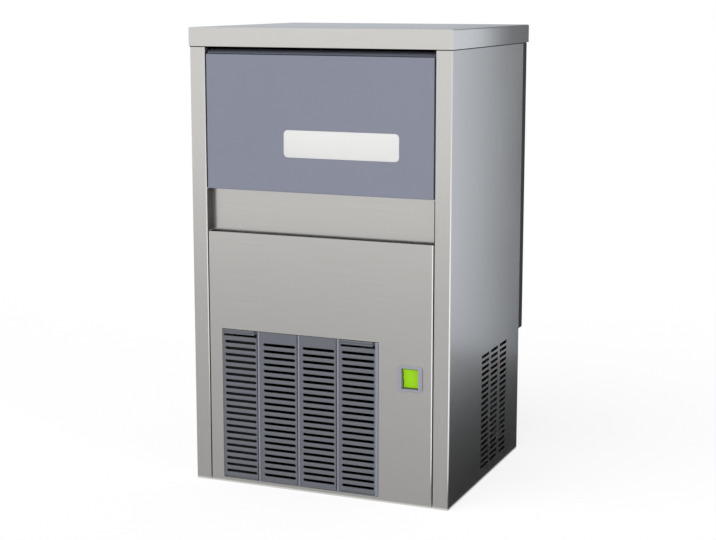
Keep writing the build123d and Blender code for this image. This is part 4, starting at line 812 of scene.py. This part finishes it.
# The photograph's camera, fitted to the machine's edges: the picture's width, the focal length and the
# shift in pixels, its place in machine heights from the foot of the front, and its turn and tilt in degrees
PICTURE_WIDTH, FOCAL_LENGTH, SHIFT = 716, 1546.2, -20
CAMERA_PLACE = (1.3148, -2.9432, 1.0742)
TURN, TILT = 22.548, 9.48


class ICE_OT_stage(bpy.types.Operator):
    """Set up the pale floor, the studio light and the camera"""

    bl_idname = "ice_machine.stage"
    bl_label = "Stage"

    def execute(self, context):
        mesh = bmesh.new()
        bmesh.ops.create_grid(mesh, x_segments=1, y_segments=1, size=40.0)
        floor = self.stand_in(context, "Floor", mesh, self.floor_paint())
        self.world(context)
        for sun in SUNS:
            self.sun(context, *sun)
        for card in CARDS:
            self.card(context, *card)
        self.camera(context)
        return {"FINISHED"}

    def stand_in(self, context, name, mesh, material):
        """Object of the stage, made of a bmesh."""
        data = bpy.data.meshes.new(name)
        mesh.to_mesh(data)
        mesh.free()
        data.materials.append(material)
        made = bpy.data.objects.new(name, data)
        context.scene.collection.objects.link(made)
        return made

    def eye_rays(self, tree):
        """The kinds of ray, and a value that is one for those of the eye and of reflections."""
        rays = node(tree, "ShaderNodeLightPath").outputs
        seen = node(tree, "ShaderNodeMath", [(0, rays["Is Camera Ray"]), (1, rays["Is Glossy Ray"])],
                    operation="MAXIMUM")
        return rays, seen.outputs["Value"]

    def floor_paint(self):
        """White matt floor that carries the shadow, lifted to white for the eye and for reflections."""
        matt_white, whiteness, glow = 0.93, 0.72, 1.07
        material = bpy.data.materials.new("Studio floor")
        material.use_nodes = True
        tree = material.node_tree
        shader = tree.nodes["Principled BSDF"]
        shader.inputs["Base Color"].default_value = (matt_white, matt_white, matt_white, 1)
        shader.inputs["Roughness"].default_value = 1.0
        shader.inputs["Specular IOR Level"].default_value = 0.0
        seen = self.eye_rays(tree)[1]
        lift = node(tree, "ShaderNodeMath", [(0, seen)], operation="MULTIPLY")
        lift.inputs[1].default_value = whiteness
        white = node(tree, "ShaderNodeEmission", Color=(1, 1, 1, 1), Strength=glow)
        mixed = node(tree, "ShaderNodeMixShader", [
            ("Fac", lift.outputs["Value"]), (1, shader.outputs["BSDF"]), (2, white.outputs["Emission"])])
        tree.links.new(mixed.outputs["Shader"], tree.nodes["Material Output"].inputs["Surface"])
        return material

    def world(self, context):
        """White surroundings for the eye and for reflections, softer for the diffuse light."""
        world = bpy.data.worlds.new("Studio")
        context.scene.world = world
        world.use_nodes = True
        tree = world.node_tree
        tree.nodes.clear()
        rays, seen = self.eye_rays(tree)
        seen = node(tree, "ShaderNodeMath", [(0, seen), (1, rays["Is Transmission Ray"])],
                    operation="MAXIMUM")
        soft = node(tree, "ShaderNodeBackground", Color=(0.96, 0.98, 1.0, 1), Strength=0.5)
        white = node(tree, "ShaderNodeBackground", Color=(1, 1, 1, 1), Strength=1.0)
        mixed = node(tree, "ShaderNodeMixShader", [
            ("Fac", seen.outputs["Value"]), (1, soft.outputs["Background"]),
            (2, white.outputs["Background"])])
        node(tree, "ShaderNodeOutputWorld", [("Surface", mixed.outputs["Shader"])])

    def sun(self, context, name, place, strength, width):
        """Distant soft light from a direction, aimed at the machine."""
        light = bpy.data.lights.new(name, "SUN")
        light.energy = strength
        light.angle = math.radians(width)
        lamp = bpy.data.objects.new(name, light)
        lamp.location = place
        lamp.rotation_euler = (-Vector(place)).to_track_quat("-Z", "Y").to_euler()
        lamp.visible_glossy = False
        context.scene.collection.objects.link(lamp)

    def card(self, context, name, centre, size, along, colour, marks):
        """Graded studio card that only reflections see, as a photographer's flag shades polished steel."""
        mesh = bmesh.new()
        low, high = Vector(centre) - Vector(size) / 2, Vector(centre) + Vector(size) / 2
        cuboid(mesh, low, high)
        material = bpy.data.materials.new(name)
        material.use_nodes = True
        tree = material.node_tree
        tree.nodes.clear()
        axis = "XYZ".index(along)
        shade = graded(tree, along, low[axis], high[axis], marks, colour)
        glow = node(tree, "ShaderNodeEmission", [("Color", shade)], Strength=1.0)
        node(tree, "ShaderNodeOutputMaterial", [("Surface", glow.outputs["Emission"])])
        made = self.stand_in(context, name, mesh, material)
        made.visible_camera = False
        made.visible_diffuse = False
        made.visible_shadow = False
        made.visible_transmission = False

    def camera(self, context):
        """Camera at the photograph's place, found by fitting its lines to the model's edges."""
        height, front = 0.65, -0.172
        data = bpy.data.cameras.new("Camera")
        data.sensor_width = 36.0
        data.lens = FOCAL_LENGTH / PICTURE_WIDTH * data.sensor_width
        data.shift_y = SHIFT / PICTURE_WIDTH
        camera = bpy.data.objects.new("Camera", data)
        camera.location = Vector(CAMERA_PLACE) * height + Vector((0, front, 0))
        camera.rotation_euler = (math.radians(90 - TILT), 0, math.radians(TURN))
        context.scene.collection.objects.link(camera)
        context.scene.camera = camera
        context.scene.view_settings.view_transform = "Standard"


class ICE_PT_panel(bpy.types.Panel):
    """Buttons for the dressing steps"""

    bl_label = "Ice cube machine"
    bl_idname = "ICE_PT_panel"
    bl_space_type = "VIEW_3D"
    bl_region_type = "UI"
    bl_category = "Ice Machine"

    def draw(self, context):
        for operator in OPERATORS:
            self.layout.operator(operator.bl_idname)
        for group in (sizes(), colours()):
            for name in group.__annotations__:
                self.layout.prop(group, name)


# In this order, in which main calls them
OPERATORS = (
    ICE_OT_finishes, ICE_OT_lid, ICE_OT_bead, ICE_OT_label, ICE_OT_grille, ICE_OT_latches, ICE_OT_bezel,
    ICE_OT_rocker, ICE_OT_louvres, ICE_OT_recess, ICE_OT_collar, ICE_OT_stage)
CLASSES = (IceMachineSizes, IceMachineColours, *OPERATORS, ICE_PT_panel)


def register():
    for made in CLASSES:
        bpy.utils.register_class(made)
    bpy.types.Scene.ice_machine_sizes = PointerProperty(type=IceMachineSizes)
    bpy.types.Scene.ice_machine_colours = PointerProperty(type=IceMachineColours)


def unregister():
    del bpy.types.Scene.ice_machine_colours
    del bpy.types.Scene.ice_machine_sizes
    for made in reversed(CLASSES):
        bpy.utils.unregister_class(made)


def main():
    """Runs every dressing step in order."""
    register()
    for operator in OPERATORS:
        group, name = operator.bl_idname.split(".")
        getattr(getattr(bpy.ops, group), name)()


if __name__ == "__main__":
    main()
